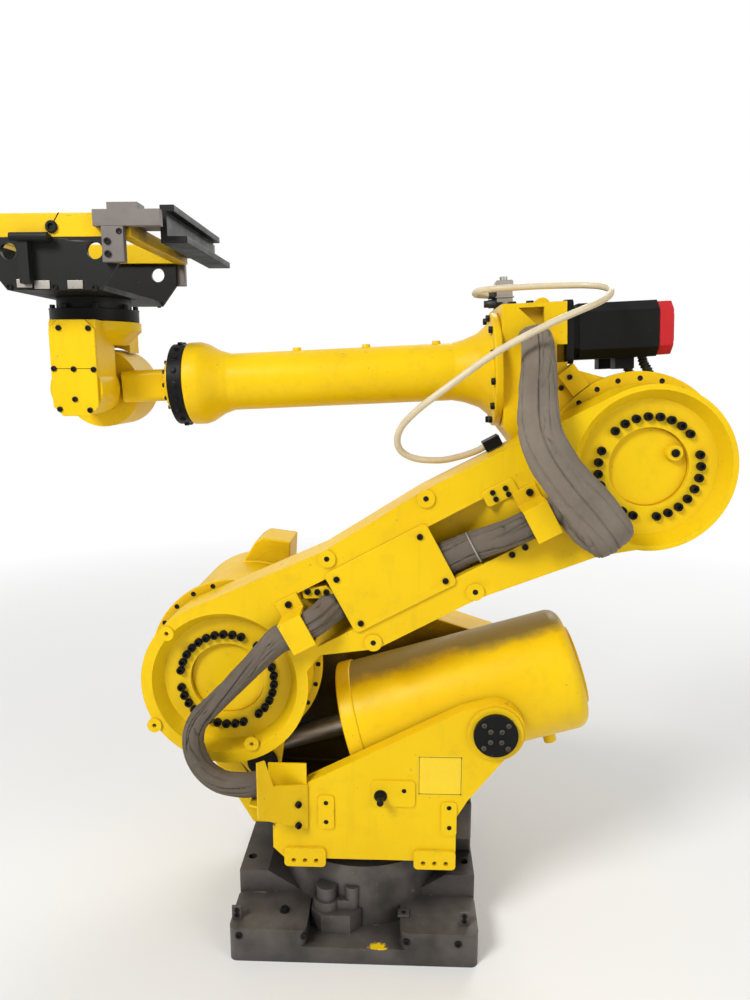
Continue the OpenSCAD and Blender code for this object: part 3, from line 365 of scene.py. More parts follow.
fabric = cloth("sleeve_fabric", (0.235, 0.196, 0.153), (0.155, 0.128, 0.098))
dark_fabric = cloth("sleeve_dark_fabric", (0.165, 0.135, 0.105), (0.10, 0.082, 0.062))


def rubber(name, colour, deep, rough):
    m = Mat(name)
    tone = m.mix(m.span(m.noise(12, 5), 0.35, 0.75), colour, deep)
    m.set(Base_Color=tone, Roughness=m.span(m.noise(45, 4), 0.3, 0.7, rough - 0.06, rough + 0.1))
    m.bump(m.noise(420, 2), 0.05, 0.001)
    return m.m


hose_mat = rubber("hose", (0.70, 0.60, 0.41), (0.56, 0.46, 0.29), 0.38)
tie_mat = rubber("tie", (0.34, 0.32, 0.28), (0.22, 0.20, 0.17), 0.5)
plug_mat = rubber("plug_black", (0.014, 0.014, 0.015), (0.022, 0.022, 0.022), 0.5)

PAINT = {"yellow_paint": yellow, "grey_paint": grey, "black_steel": black, "motor_black": motor_black,
         "motor_red": motor_red, "bare_steel": steel, "tool_dark": tool_dark, "tool_grey": tool_grey,
         "sleeve_fabric": fabric, "hose": hose_mat}
# The turret and frame take the yellow with painted shade inside.
OWN_PAINT = {"balancer_cylinder": balancer_yellow, "base_casting": base_grey, "turret_casting": inner_shade_yellow,
             "frame_bars": inner_shade_yellow, "frame_side_beams": inner_shade_yellow}
EDGE = {"yellow_paint": 5.0, "grey_paint": 5.0, "tool_dark": 1.6, "tool_grey": 1.6, "motor_red": 4.0,
        "motor_black": 2.2, "bare_steel": 2.0, "black_steel": 2.0}
OWN_EDGE = {"near_cheek": 2.5, "cable_bracket": 1.2, "arm_cover_plate": 1.6, "lower_sleeve_clamp": 1.2,
            "upper_sleeve_clamp": 1.2, "wrist_side_cover": 2.2, "shoulder_cover": 2.0, "elbow_cover": 2.0,
            "frame_bars": 2.0, "frame_side_beams": 2.0, "shoulder_gear_flange": 2.5, "elbow_gear_flange": 2.5}


def soften(ob, width):
    """Rounds the edges of a shape and evens its shading."""
    weld = ob.modifiers.new("weld", "WELD")
    weld.merge_threshold = 0.00002
    flat = ob.modifiers.new("flat", "DECIMATE")
    flat.decimate_type = "DISSOLVE"
    flat.angle_limit = math.radians(0.4)
    bev = ob.modifiers.new("round", "BEVEL")
    bev.width = width * MM
    bev.segments = 3
    bev.limit_method = "ANGLE"
    bev.angle_limit = math.radians(32)
    bev.use_clamp_overlap = True
    even = ob.modifiers.new("even", "WEIGHTED_NORMAL")
    even.keep_sharp = False
    ob.data.shade_smooth()


SLOT = {s["node"]: s["material_slot"] for s in frame["record"]["subparts"]}
for name, ob in NODE.items():
    ob.data.materials.clear()
    ob.data.materials.append(OWN_PAINT.get(name, PAINT[SLOT[name]]))
    if SLOT[name] in EDGE:
        soften(ob, OWN_EDGE.get(name, EDGE[SLOT[name]]))


# Mesh helpers

def piece(name, bm, body, mat, width=0.0):
    bmesh.ops.recalc_face_normals(bm, faces=bm.faces)
    me = bpy.data.meshes.new(name)
    bm.to_mesh(me)
    bm.free()
    me.materials.append(mat)
    me.shade_smooth()
    me.set_sharp_from_angle(angle=math.radians(38))
    ob = bpy.data.objects.new(name, me)
    bpy.context.scene.collection.objects.link(ob)
    if width:
        soften(ob, width)
    if body:
        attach(ob, body)
    return ob


def sides(axis, hint=UP):
    n = axis.normalized()
    a = hint - n * hint.dot(n)
    if a.length < 0.1:
        a = FRONT - n * FRONT.dot(n)
    a.normalize()
    return a, n.cross(a), n


def rings(bm, at, axis, profile, n=18, hexes=(), spin=0.0):
    """A turned shape: profile is (radius, height) in metres; rings named in hexes are six-sided."""
    a, b, c = sides(axis)
    rows = []
    for i, (r, h) in enumerate(profile):
        row = []
        for k in range(n):
            t = 2 * math.pi * k / n
            q = r
            if i in hexes:
                d = t % (math.pi / 3) - math.pi / 6
                q = r * math.cos(math.pi / 6) / math.cos(d)
            t += spin
            row.append(bm.verts.new(at + (a * math.cos(t) + b * math.sin(t)) * q + c * h))
        rows.append(row)
    for p, q in zip(rows, rows[1:]):
        for k in range(n):
            bm.faces.new((p[k], p[(k + 1) % n], q[(k + 1) % n], q[k]))
    bm.faces.new(rows[0])
    bm.faces.new(rows[-1])


def box(bm, corners):
    """A solid between eight corners, low four then high four."""
    v = [bm.verts.new(c) for c in corners]
    for f in ((0, 3, 2, 1), (4, 5, 6, 7), (0, 1, 5, 4), (1, 2, 6, 5), (2, 3, 7, 6), (3, 0, 4, 7)):
        bm.faces.new([v[i] for i in f])


def brick(bm, place, low, high):
    (x0, y0, z0), (x1, y1, z1) = low, high
    box(bm, [place(x0, y0, z0), place(x1, y0, z0), place(x1, y1, z0), place(x0, y1, z0),
             place(x0, y0, z1), place(x1, y0, z1), place(x1, y1, z1), place(x0, y1, z1)])


def slab(bm, place, outline, y0, y1):
    """A flat outline in X and Z of a link, as a plate between two depths."""
    a = [bm.verts.new(place(x, y0, z)) for x, z in outline]
    b = [bm.verts.new(place(x, y1, z)) for x, z in outline]
    n = len(outline)
    bm.faces.new(a)
    bm.faces.new(b)
    for k in range(n):
        bm.faces.new((a[k], a[(k + 1) % n], b[(k + 1) % n], b[k]))


def rounded(x0, z0, x1, z1, r, n=5):
    """Outline of a rectangle with round corners."""
    corners = ((x1 - r, z1 - r, 0), (x0 + r, z1 - r, 90), (x0 + r, z0 + r, 180), (x1 - r, z0 + r, 270))
    out = []
    for cx, cz, start in corners:
        for k in range(n + 1):
            t = math.radians(start + 90 * k / n)
            out.append((cx + r * math.cos(t), cz + r * math.sin(t)))
    return out


# Cords and sleeves

def smooth(points, step):
    """A curve through the points, sampled about every step, in metres."""
    p = [Vector(q) for q in points]
    p = [p[0] * 2 - p[1]] + p + [p[-1] * 2 - p[-2]]
    out = []
    for i in range(1, len(p) - 2):
        a, b, c, d = p[i - 1], p[i], p[i + 1], p[i + 2]
        n = max(2, int((c - b).length / step))
        for k in range(n):
            t = k / n
            out.append(0.5 * ((2 * b) + (c - a) * t + (2 * a - 5 * b + 4 * c - d) * t * t
                              + (3 * b - a - 3 * c + d) * t ** 3))
    out.append(p[-2])
    return out


def span_of(path):
    return sum((b - a).length for a, b in zip(path, path[1:]))


def tube(bm, path, shape, n, side):
    """Sweeps a closed section along the path; shape(run, share, angle) gives the two half widths."""
    rows, last = [], side
    total, run = span_of(path), 0.0
    for i, at in enumerate(path):
        way = (path[min(i + 1, len(path) - 1)] - path[max(i - 1, 0)]).normalized()
        a = last - way * last.dot(way)
        a.normalize()
        last = a
        b = way.cross(a)
        if i:
            run += (at - path[i - 1]).length
        row = []
        for k in range(n):
            t = 2 * math.pi * k / n
            w, h = shape(run, run / total, t)
            row.append(bm.verts.new(at + a * math.cos(t) * w + b * math.sin(t) * h))
        rows.append(row)
    for p, q in zip(rows, rows[1:]):
        for k in range(n):
            bm.faces.new((p[k], p[(k + 1) % n], q[(k + 1) % n], q[k]))
    bm.faces.new(rows[0])
    bm.faces.new(rows[-1])


def stations(points, widths, thicknesses):
    """Half width and half thickness along a route, from the full sizes at its points, in millimetres."""
    runs = [0.0]
    for a, b in zip(points, points[1:]):
        runs.append(runs[-1] + (b - a).length)

    def at(share):
        run = share * runs[-1]
        for k in range(len(runs) - 1):
            if run <= runs[k + 1] or k == len(runs) - 2:
                t = min(1.0, (run - runs[k]) / (runs[k + 1] - runs[k]))
                return tuple(0.5 * MM * (v[k] + (v[k + 1] - v[k]) * t) for v in (widths, thicknesses))
    return at


def slack(sizes, seed, depth, twist, seam=None):
    """Half widths of a fabric sleeve: long folds that wind round it, creases across it and a sewn seam."""
    def shape(run, share, t):
        w, h = sizes(share)
        q = t + twist * run
        c, s = math.cos(q), math.sin(q)
        fold = max(0.0, 1 - abs(noise.noise(Vector((run * 4.5 + seed, c * 1.8, s * 1.8)))) / 0.17)
        swell = noise.noise(Vector((run * 7 + seed, c * 1.5, s * 1.5 + seed)))
        pucker = noise.noise(Vector((run * 24 + seed, c * 1.3, s * 1.3)))
        crease = max(0.0, 1 - abs(pucker) / 0.11) * max(0.0, swell + 0.15)
        ends = min(1.0, 12 * share + 0.15, 12 * (1 - share) + 0.15)
        k = 1.03 - depth * ends * (fold + 1.5 * crease - 0.55 * swell + 0.1)
        if seam is not None:
            off = abs((t - seam + math.pi) % (2 * math.pi) - math.pi)
            k += ends * (0.05 * math.exp(-((off - 0.11) / 0.07) ** 2) - 0.12 * math.exp(-(off / 0.045) ** 2))
        return w * k, h * k
    return shape


def metres(points):
    return [Vector(p) * MM for p in points]


SLEEVE_STEP = 0.004
SLEEVE_SIDES = 96
HOSE_D = 15
HOSE_STEP = 0.006
HOSE_SIDES = 20
CLAMP_Y = 277.3
LOWER_Z = 44
UPPER_Z = 22
LOWER_LOOP = metres([(232, 286, 446), (270, 291, 446), (315, 295, 456), (351, 295, 484), (372, 295, 525),
                     (374, 295, 570), (359, 296, 608), (322, 297, 648), (278, 298, 692), (237, 295, 734),
                     (207, 286, 765)]) + [arm(-172, CLAMP_Y, LOWER_Z), arm(-199.4, CLAMP_Y, LOWER_Z)]
LOWER_W = [60, 60, 60, 60, 60, 60, 60, 60, 60, 60, 62, 64, 64]
LOWER_T = [54, 54, 52, 49, 47, 47, 47, 47, 48, 50, 55, 61, 64]
UPPER_LOOP = metres([(-392, 100.5, 1462), (-392, 150, 1462), (-387, 205, 1435), (-382, 255, 1390),
                     (-375, 296, 1330), (-378, 320, 1263), (-402, 333, 1205), (-443, 337, 1149),
                     (-490, 337, 1095), (-526, 332, 1050), (-540, 310, 1027), (-525, 292, 1031),
                     (-488, 284, 1049)]) + [arm(-866.6, CLAMP_Y, UPPER_Z), arm(-838.6, CLAMP_Y, UPPER_Z)]
UPPER_W = [64, 66, 70, 74, 80, 88, 96, 102, 104, 102, 96, 88, 76, 62, 60]
UPPER_T = [44, 44, 44, 44, 44, 44, 44, 44, 44, 42, 38, 40, 48, 58, 60]
MIDDLE = [arm(*p) for p in (
    (-200, CLAMP_Y, LOWER_Z), (-228, CLAMP_Y, LOWER_Z), (-263, 276, LOWER_Z), (-298, 242, LOWER_Z),
    (-323, 217, LOWER_Z), (-342.5, 216, LOWER_Z), (-459, 216, (LOWER_Z + UPPER_Z) / 2),
    (-593.5, 216, UPPER_Z), (-640, 222, UPPER_Z), (-690, 247, UPPER_Z), (-735, 272, UPPER_Z),
    (-768, CLAMP_Y, UPPER_Z), (-810, CLAMP_Y, UPPER_Z), (-838, CLAMP_Y, UPPER_Z))]
MIDDLE_W = [64, 64, 64, 68, 74, 76, 76, 76, 72, 68, 64, 64, 64, 64]
MIDDLE_T = [64, 64, 63, 56, 50, 50, 50, 50, 52, 56, 62, 64, 64, 64]
HOSE = metres([(-332.5, -129, 1576), (-306, -124, 1575), (-283, -102, 1574), (-273, -66, 1574),
               (-273, -16, 1574), (-285, 22, 1574), (-311, 47, 1574), (-350, 60, 1575), (-400, 67, 1577),
               (-460, 74, 1578), (-508, 86, 1577), (-540, 114, 1571), (-550, 155, 1557), (-520, 197, 1532),
               (-413, 252, 1486), (-298, 278, 1427), (-196, 274, 1355), (-123, 252, 1297), (-89, 229, 1254),
               (-89, 208, 1215), (-122, 187, 1191), (-180, 166, 1184), (-226, 154, 1191)]) + [
    arm(-760, 150, 199), arm(-779.7, 150, 199)]


def sleeve(name, node, mat, points, widths, thicknesses, side, seed, depth, twist, seam=None):
    """A fabric sleeve along a route, in place of the node's plain tube."""
    bm = bmesh.new()
    sizes = stations(points, widths, thicknesses)
    tube(bm, smooth(points, SLEEVE_STEP), slack(sizes, seed, depth, twist, seam), SLEEVE_SIDES, side)
    ob = piece(name, bm, None, mat)
    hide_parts(node)
    return ob


lower_path = smooth(LOWER_LOOP, SLEEVE_STEP)
sleeve_low = sleeve("sleeve_lower_fabric", "sleeve_lower_loop", dark_fabric, LOWER_LOOP, LOWER_W, LOWER_T,
                    side=NEAR, seed=3.0, depth=0.15, twist=4.0)
span_of(lower_path)
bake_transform(sleeve_low)

sleeve_mid = sleeve("sleeve_middle_fabric", "sleeve_middle", dark_fabric, MIDDLE, MIDDLE_W, MIDDLE_T,
                    side=ARM_Z, seed=21.0, depth=0.14, twist=1.5)
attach(sleeve_mid, "lower_arm")

sleeve_up = sleeve("sleeve_upper_fabric", "sleeve_upper_loop", fabric, UPPER_LOOP, UPPER_W, UPPER_T,
                   side=-FRONT, seed=11.0, depth=0.10, twist=0.6, seam=math.pi / 2)
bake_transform(sleeve_up)

bm = bmesh.new()
hose_path = smooth(HOSE, HOSE_STEP)
tube(bm, hose_path, lambda run, share, t: (0.5 * HOSE_D * MM, 0.5 * HOSE_D * MM), HOSE_SIDES, UP)
hose = piece("air_hose_tube", bm, None, hose_mat)
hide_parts("air_hose")
span_of(hose_path)
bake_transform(hose)


# Fasteners, and dark discs of painted shade in holes, each seated on the piece that carries it

trees = {}


def seat(node, at, axis=NEAR, reach=0.7):
    """The point of a node that is met first when coming in along the axis."""
    if node not in trees:
        me = NODE[node].data
        trees[node] = BVHTree.FromPolygons([v.co for v in me.vertices], [p.vertices for p in me.polygons])
    hit = trees[node].ray_cast(at + axis * reach, -axis)[0]
    if hit is None:
        raise ValueError("%s isn't under %s" % (node, tuple(at)))
    return hit


def cap_screw(bm, at, axis, r, h, spin):
    """Socket-head screw standing on a face."""
    h = h or r
    rings(bm, at, axis, [(r, -0.001), (r, h * 0.86), (r * 0.9, h), (r * 0.58, h), (r * 0.55, h * 0.35)], 18,
          (3, 4), spin)


def hex_bolt(bm, at, axis, r, h, spin):
    """Hexagon bolt on its washer."""
    h = h or 0.75 * r
    w = 0.25 * h
    rings(bm, at, axis, [(r * 1.3, -0.001), (r * 1.3, w * 0.8), (r * 1.22, w)], 18)
    rings(bm, at, axis, [(r, w * 0.9), (r, w + h * 0.8), (r * 0.86, w + h)], 18, (0, 1), spin)


def hole_shade(bm, at, axis, r, h, spin):
    """Dark disc of painted shade, sitting in the mouth of one of the drilled holes."""
    rings(bm, at, axis, [(r * 1.12, -0.001), (r * 1.12, 0.0005), (r * 0.96, 0.0008), (r * 0.8, 0.0002)], 16)


def stud(bm, at, axis, r, h, spin):
    """Threaded rod with a nut at its foot."""
    hex_bolt(bm, at, axis, 1.5 * r, 1.1 * r, spin)
    rings(bm, at, axis, [(r, 0.0), (r, h - 0.3 * r), (0.75 * r, h)], 16)


def boss(bm, at, axis, r, h, spin):
    """Low round boss."""
    rings(bm, at, axis, [(1.1 * r, -0.001), (r, 0.8 * h), (0.92 * r, h)], 24)


def fasten(name, body, mat, slot, *groups):
    """One piece of many fasteners; a group is maker, node, places, axis, radius and height in millimetres."""
    bm = bmesh.new()
    for maker, node, places, axis, r, h in groups:
        for k, at in enumerate(places):
            maker(bm, seat(node, at, axis), axis, r * MM, h * MM, 0.7 * k)
    return piece(name, bm, body, mat)


def ring_of(centre, r, start, step, count, skip=()):
    """Places on a circle round a joint, in degrees from +X towards +Z."""
    about = turned(centre, 0)
    turns = [math.radians(start + step * k) for k in range(count) if k not in skip]
    return [about(r * math.cos(t), 0, r * math.sin(t)) for t in turns]


def spread(place, points, y=0):
    return [place(x, y, z) for x, z in points]


def about_x(place, x, z, r, start, step, count):
    """Places on a circle that faces along the link."""
    turns = [math.radians(start + step * k) for k in range(count)]
    return [place(x, r * math.cos(t), z + r * math.sin(t)) for t in turns]


# Base
SKIRT_SCREWS = spread(world, [(283, 68), (130, 68), (-113, 64), (-234, 62)])
PAD_TOP = 85
PAD_PLATE_TOP = PAD_TOP + 4
TAB_STARTS = (-262, 282)
TAB_W = 24
TAB_FACE = 274
fasten("base_screws", "base", bolt_black, "black_steel",
       (cap_screw, "base_casting", SKIRT_SCREWS, NEAR, 8, 4),
       (cap_screw, "base_casting", SKIRT_SCREWS, FAR, 8, 4),
       (hex_bolt, "base_casting", [world(184, 240, 0)], UP, 9, 8))
bm = bmesh.new()
brick(bm, world, (-120, 226, PAD_TOP - 1), (-92, 252, PAD_PLATE_TOP))
for x in TAB_STARTS:
    brick(bm, world, (x, TAB_FACE - 6, PAD_TOP - 3), (x + TAB_W, TAB_FACE, PAD_TOP + 35))
piece("base_plates", bm, "base", grey, 1.5)
bm = bmesh.new()
for x in TAB_STARTS:
    for z in (98, 111):
        cap_screw(bm, world(x + TAB_W / 2, TAB_FACE, z), NEAR, 5 * MM, 4 * MM, 0.3)
# Dark disc of painted shade in the plate's hole.
hole_shade(bm, world(-106, 239, PAD_PLATE_TOP), UP, 5 * MM, 0, 0)
piece("base_plate_screws_and_hole_shade", bm, "base", bolt_black)

# Turret
PANEL_ANGLE = math.radians(38.4)
PANEL = Vector((-math.sin(PANEL_ANGLE), math.cos(PANEL_ANGLE), 0))
CHEEK_HOLES = spread(world, [(79, 379), (79, 330), (-105, 414), (-211, 373), (-212, 322)])
TRUNNION_SCREWS = ring_of(TRUNNION, 39, 45, 90, 4) + ring_of(TRUNNION, 18, 45, 90, 4)
LABEL_FACE = 245.8
# Dark discs of painted shade in the cheek and flange holes, among the screws.
fasten("turret_screws_and_hole_shades", "turret", bolt_black, "black_steel",
       (hole_shade, "near_cheek", CHEEK_HOLES, NEAR, 5, 0),
       (stud, "near_cheek", [world(-50, 0, 400)], NEAR, 8, 34),
       (cap_screw, "cable_bracket", [world(146, 262, 385), world(147, 262, 332)], PANEL, 8, 7),
       (hole_shade, "shoulder_gear_flange", ring_of(SHOULDER, 203, 0, 15, 24), NEAR, 5.5, 0))
fasten("trunnion_screws", "turret", bolt_zinc, "bare_steel",
       (cap_screw, "trunnion_cap", TRUNNION_SCREWS, NEAR, 6, 3))
bm = bmesh.new()
slab(bm, world, rounded(-241, 403, -137, 502, 5), LABEL_FACE - 1.3, LABEL_FACE)
piece("cheek_label_place", bm, "turret", label)
bm = bmesh.new()
edge_run = [world(x, LABEL_FACE, z) for x, z in rounded(-238, 406, -140, 499, 4)]
tube(bm, smooth(edge_run + edge_run[:1], 0.01), lambda run, share, t: (0.0009, 0.0005), 6, NEAR)
piece("cheek_label_edge", bm, "turret", bolt_black)

# Lower arm
HUB_SCREW_R = 111
SHOULDER_SCREWS = ring_of(SHOULDER, HUB_SCREW_R, 0, 360 / 33, 33, (0, 11, 22))
ELBOW_SCREWS = ring_of(ELBOW, HUB_SCREW_R, 32, 360 / 27, 27, (0, 9, 18))
BOSS_HOLES = spread(arm, [(-354.8, 152), (-612.8, 170), (-612.8, -68), (-354.8, -68)])
COVER_SCREWS = spread(arm, [(-562, 101), (-352, 101), (-566, -14), (-352, -14)])
PAD_FACE = 250
STEP_FACE = 238
SOCKET = arm(-1138, 0, 2)
SOCKET_RISE = 16
fasten("hub_screws", "lower_arm", bolt_black, "black_steel",
       (cap_screw, "lower_arm_casting", SHOULDER_SCREWS, NEAR, 9.5, 11),
       (cap_screw, "lower_arm_casting", ELBOW_SCREWS, NEAR, 9.5, 11))
# Dark discs of painted shade in the boss holes, among the screws.
fasten("arm_hole_shades_and_screws", "lower_arm", bolt_black, "black_steel",
       (hole_shade, "lower_arm_casting", BOSS_HOLES, NEAR, 5.5, 0),
       (cap_screw, "arm_cover_plate", COVER_SCREWS, NEAR, 7, 4),
       (cap_screw, "lower_sleeve_clamp", spread(arm, [(-228, 100)]), NEAR, 8, 5),
       (cap_screw, "upper_sleeve_clamp", spread(arm, [(-818, 79)]), NEAR, 8, 5),
       (cap_screw, "lower_arm_casting", spread(arm, [(-723, -30), (-756, -28)]), NEAR, 7, 5))
bm = bmesh.new()
slab(bm, arm, rounded(-800, 88, -724, 126, 8), 232, PAD_FACE)
slab(bm, arm, [(-262, 92), (-266, 116), (-322, 96), (-330, 72), (-300, 74)], 205, STEP_FACE)
piece("arm_pads", bm, "lower_arm", yellow, 2.0)
bm = bmesh.new()
for x, z in ((-747, 115), (-776, 111), (-747, 99), (-776, 96)):
    cap_screw(bm, arm(x, PAD_FACE, z), NEAR, 6 * MM, 4 * MM, 0.4)
for x, z in ((-278, 104), (-297, 93), (-315, 83)):
    cap_screw(bm, arm(x, STEP_FACE, z), NEAR, 7 * MM, 6 * MM, 0.8)
piece("arm_pad_screws", bm, "lower_arm", bolt_black)
fasten("elbow_socket_boss", "lower_arm", yellow, "yellow_paint",
       (boss, "elbow_cover", [SOCKET], NEAR, 18, SOCKET_RISE))
bm = bmesh.new()
cap_screw(bm, seat("elbow_cover", SOCKET) + NEAR * SOCKET_RISE * MM, NEAR, 9 * MM, 4 * MM, 0.2)
piece("elbow_socket", bm, "lower_arm", bolt_black)
bm = bmesh.new()
tie_run = [arm(-655, 233 + 30 * math.sin(t), 22 + 37 * math.cos(t))
           for t in (2 * math.pi * k / 40 for k in range(41))]
tube(bm, tie_run, lambda run, share, t: (0.0018, 0.0012), 8, ARM_X)
piece("sleeve_tie", bm, "lower_arm", tie_mat)

# Elbow and forearm
# Dark discs of painted shade in the elbow flange holes, among the screws.
fasten("forearm_screws_and_hole_shades", "upper_arm", bolt_black, "black_steel",
       (cap_screw, "forearm_tube", about_x(fore, 330, FORE_AXIS_Z, 124, 18, 30, 12), FORE_X, 8, 9),
       (hole_shade, "elbow_gear_flange", ring_of(ELBOW, 192, 0, 15, 24), NEAR, 5.5, 0),
       (hex_bolt, "elbow_casting", [fore(x, -60, 372) for x in (286, 254, 210)], FORE_Z, 11, 14),
       (cap_screw, "elbow_casting", spread(fore, [(150, 201), (167, 177)]), NEAR, 6, 4))
fasten("forearm_lugs", "upper_arm", yellow, "yellow_paint",
       (boss, "forearm_tube", [fore(x, 0, 300) for x in (788, 618, 447)], FORE_Z, 10, 7))
bm = bmesh.new()
for k in range(18):
    t = math.radians(20 * k)
    out = NEAR * math.cos(t) + FORE_Z * math.sin(t)
    hex_bolt(bm, seat("forearm_end_ring", fore(1072, 0, FORE_AXIS_Z), out), out, 6 * MM, 4 * MM, 0.2)
piece("forearm_ring_studs", bm, "upper_arm", black)

# Valve on the elbow
bm = bmesh.new()
for z0, z1, grow in ((372, 381, 5), (404, 408, 3), (424, 446, 2)):
    brick(bm, fore, (245 - grow, -149 - grow, z0), (285 + grow, -109 + grow, z1))
piece("valve_plates", bm, "upper_arm", steel, 1.2)
bm = bmesh.new()
rings(bm, fore(290, -129, 392), FORE_X, [(0.011, -0.004), (0.011, 0.014), (0.009, 0.017), (0.009, 0.026)], 18)
rings(bm, hose_path[0], (hose_path[4] - hose_path[0]).normalized(),
      [(0.011, -0.006), (0.011, 0.010), (0.0095, 0.012), (0.0095, 0.020)], 18, (0, 1))
piece("valve_fittings", bm, "upper_arm", plug_mat)

# Ribbed conduits under the wrist motors
CONDUIT = [(-40, 246), (-44, 226), (-56, 205), (-70, 170), (-78, 135)]
CONDUIT_R = 0.0105
RIB_RISE = 0.0013
RIBS = 900
bm = bmesh.new()
for y in (22, -134):
    tube(bm, smooth(spread(fore, CONDUIT, y), 0.0012),
         lambda run, share, t: [CONDUIT_R + RIB_RISE * math.cos(run * RIBS)] * 2, 20, NEAR)
piece("motor_conduits", bm, "upper_arm", plug_mat)

# Wrist
FOOT_BACK = 17
FOOT_FACE = 31
WRIST_COVER_SCREWS = [(29, 139), (-40, 138), (46, 47), (0, 46), (-47, 45), (38, -46), (-33, -48), (1, -23)]
bm = bmesh.new()
slab(bm, fore, rounded(1092, FORE_AXIS_Z - 41, 1113, FORE_AXIS_Z + 41, 4), FOOT_BACK, FOOT_FACE)
slab(bm, fore, rounded(1088, FORE_AXIS_Z - 30, 1098, FORE_AXIS_Z + 30, 3), FOOT_BACK, 66)
piece("wrist_roll_foot", bm, "wrist_roll", yellow, 1.2)
bm = bmesh.new()
# Dark discs of painted shade in the foot's holes.
for z in (-32, -18, 18, 32):
    hole_shade(bm, fore(1105, FOOT_FACE, FORE_AXIS_Z + z), NEAR, 3.5 * MM, 0, 0)
piece("wrist_foot_hole_shades", bm, "wrist_roll", bolt_black)
fasten("wrist_arm_screws", "wrist_roll", bolt_black, "black_steel",
       (cap_screw, "wrist_arm", about_x(fore, 1100, FORE_AXIS_Z, 62, 0, 30, 12), FORE_X, 5, 3))
fasten("wrist_cover_screws", "wrist_bend", bolt_black, "black_steel",
       (cap_screw, "wrist_side_cover", spread(wrist, WRIST_COVER_SCREWS), NEAR, 6.5, 3))
bm = bmesh.new()
for x0, x1 in ((-40, -7), (7, 39)):
    brick(bm, wrist, (x0, 141.5, 46.4), (x1, 142.3, 47.6))
piece("wrist_cover_line", bm, "wrist_bend", bolt_black)

# Gripping frame
FLANGE_BOLT_R = 96
RAIL = [(232, 100), (290, 100), (290, 115), (247, 115), (247, 165), (264, 165), (264, 180), (232, 180)]
PLATE_SCREWS = [(97, 7), (-3, 6), (-91, 4)]
PLATE_PADS = [(63, 7), (24, 4), (-49, 4)]
PLATE_PAD_RISE = 3
fasten("flange_bolts", "tool", bolt_black, "black_steel",
       (hex_bolt, "tool_flange", [wrist(FLANGE_BOLT_R * math.cos(t), FLANGE_BOLT_R * math.sin(t), 190)
                                  for t in (math.radians(22.5 + 45 * k) for k in range(8))], UP, 7, 9))
bm = bmesh.new()
for sign in (-1, 1):
    slab(bm, tool, [(sign * x, z) for x, z in RAIL], 150, 190)
piece("rail_ends", bm, "tool", tool_dark, 1.6)
for side, axis in (("near", NEAR), ("far", FAR)):
    sign = axis.y
    # Dark disc of painted shade in the clamp block's hole, among the screws.
    fasten("frame_screws_and_hole_shades_" + side, "tool", bolt_black, "black_steel",
           (cap_screw, "frame_plates", spread(tool, PLATE_SCREWS), axis, 7, 4),
           (cap_screw, "frame_clamp_blocks", spread(tool, [(-131, 98), (-131, 72)]), axis, 7, 4),
           (hole_shade, "frame_clamp_blocks", spread(tool, [(-157, 118)]), axis, 6, 0))
    bm = bmesh.new()
    for x, z in PLATE_PADS:
        at = seat("frame_plates", tool(x, 0, z + 4), axis) / MM
        y0, y1 = sorted((at.y, at.y + PLATE_PAD_RISE * sign))
        brick(bm, tool, (x - 17, y0, z - 2), (x + 17, y1, z + 16))
    piece("frame_pads_" + side, bm, "tool", steel, 0.8)
    bm = bmesh.new()
    at = seat("frame_bars", tool(-12, 0, 140), axis) / MM
    rings(bm, Vector((tool(-5, 0, 0).x, at.y * MM, tool(0, 0, 131).z)), axis,
          [(0.013, -0.002), (0.013, 0.004), (0.011, 0.006), (0.007, 0.006), (0.006, 0.001)], 20)
    y0, y1 = sorted((at.y - 0.2 * sign, at.y + 0.5 * sign))
    slab(bm, tool, [(-23, 160), (-20.5, 160), (-5.5, 137), (-8, 137)], y0, y1)
    piece("bar_joint_" + side, bm, "tool", bolt_black)

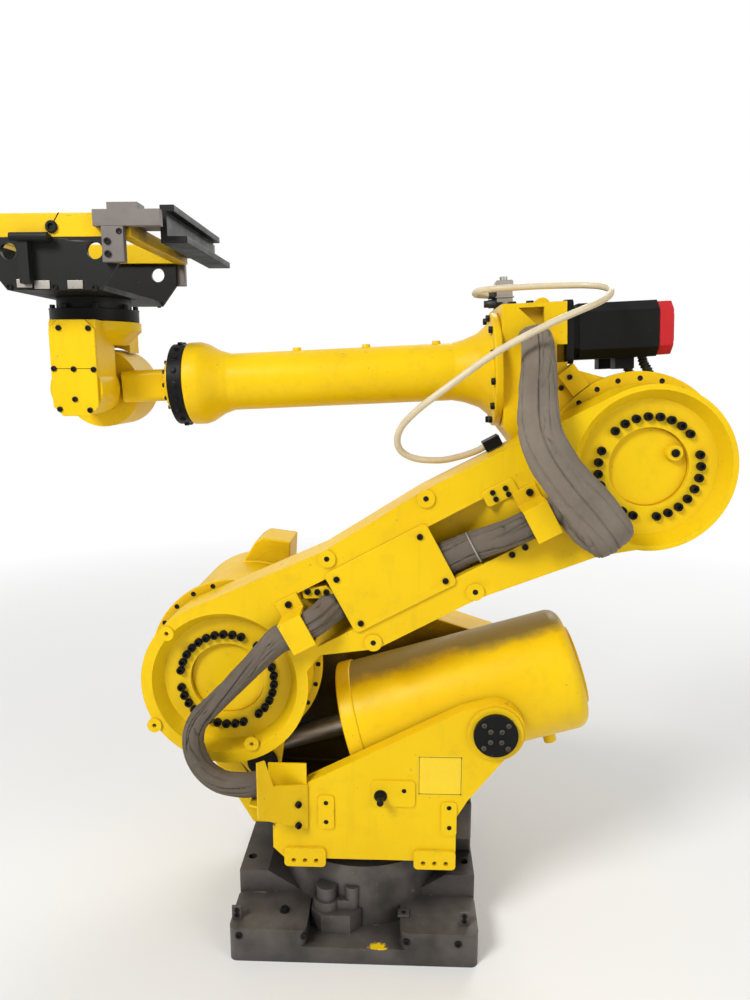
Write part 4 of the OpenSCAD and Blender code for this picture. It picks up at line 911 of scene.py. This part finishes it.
# Light, floor and background
FLOOR_SIZE = 40
FADE_START = 1.2
FADE_END = 4.5
SKY_LIGHT = 0.36
SKY_SEEN = 1.0
floor_mat = Mat("floor")
floor_mat.set(Base_Color=(0.86, 0.86, 0.85, 1), Roughness=0.8)
glow = floor_mat.node("ShaderNodeEmission")
camera_ray = floor_mat.node("ShaderNodeLightPath").outputs["Is Camera Ray"]
fade = floor_mat.math("MULTIPLY", camera_ray, floor_mat.span(floor_mat.away((0, 0, 0)), FADE_START, FADE_END))
floor_mix = floor_mat.node("ShaderNodeMixShader")
floor_mat.put(floor_mix.inputs[0], fade)
floor_mat.put(floor_mix.inputs[1], floor_mat.b.outputs["BSDF"])
floor_mat.put(floor_mix.inputs[2], glow.outputs["Emission"])
floor_mat.put(floor_mat.t.nodes["Material Output"].inputs["Surface"], floor_mix.outputs["Shader"])
bm = bmesh.new()
bmesh.ops.create_grid(bm, x_segments=1, y_segments=1, size=FLOOR_SIZE)
me = bpy.data.meshes.new("floor")
bm.to_mesh(me)
bm.free()
me.materials.append(floor_mat.m)
floor = bpy.data.objects.new("floor", me)
bpy.context.scene.collection.objects.link(floor)

sky = bpy.data.worlds.new("sky")
sky.use_nodes = True
bpy.context.scene.world = sky
nt = sky.node_tree
back = nt.nodes["Background"]
back.inputs["Color"].default_value = (1, 1, 1, 1)
light_path = nt.nodes.new("ShaderNodeLightPath")
level = nt.nodes.new("ShaderNodeMapRange")
level.inputs["To Min"].default_value = SKY_LIGHT
level.inputs["To Max"].default_value = SKY_SEEN
seen = light_path.outputs["Is Camera Ray"]
for ray in ("Is Glossy Ray", "Is Transmission Ray"):
    most = nt.nodes.new("ShaderNodeMath")
    most.operation = "MAXIMUM"
    nt.links.new(seen, most.inputs[0])
    nt.links.new(light_path.outputs[ray], most.inputs[1])
    seen = most.outputs["Value"]
nt.links.new(seen, level.inputs["Value"])
nt.links.new(level.outputs["Result"], back.inputs["Strength"])


def lamp(name, at, aim, size, watts):
    data = bpy.data.lights.new(name, "AREA")
    data.shape = "DISK"
    data.size = size
    data.energy = watts
    ob = bpy.data.objects.new(name, data)
    ob.location = at
    ob.rotation_mode = "QUATERNION"
    ob.rotation_quaternion = (Vector(aim) - Vector(at)).to_track_quat("-Z", "Y")
    bpy.context.scene.collection.objects.link(ob)


lamp("key", (2.6, 3.4, 4.2), (0, 0, 0.8), 1.8, 215)
lamp("fill", (-3.2, 2.8, 2.2), (0, 0, 0.9), 2.6, 45)
lamp("rim", (-1.5, -3.4, 3.6), (0, 0, 0.9), 2.4, 80)
bpy.context.scene.view_settings.view_transform = "Standard"
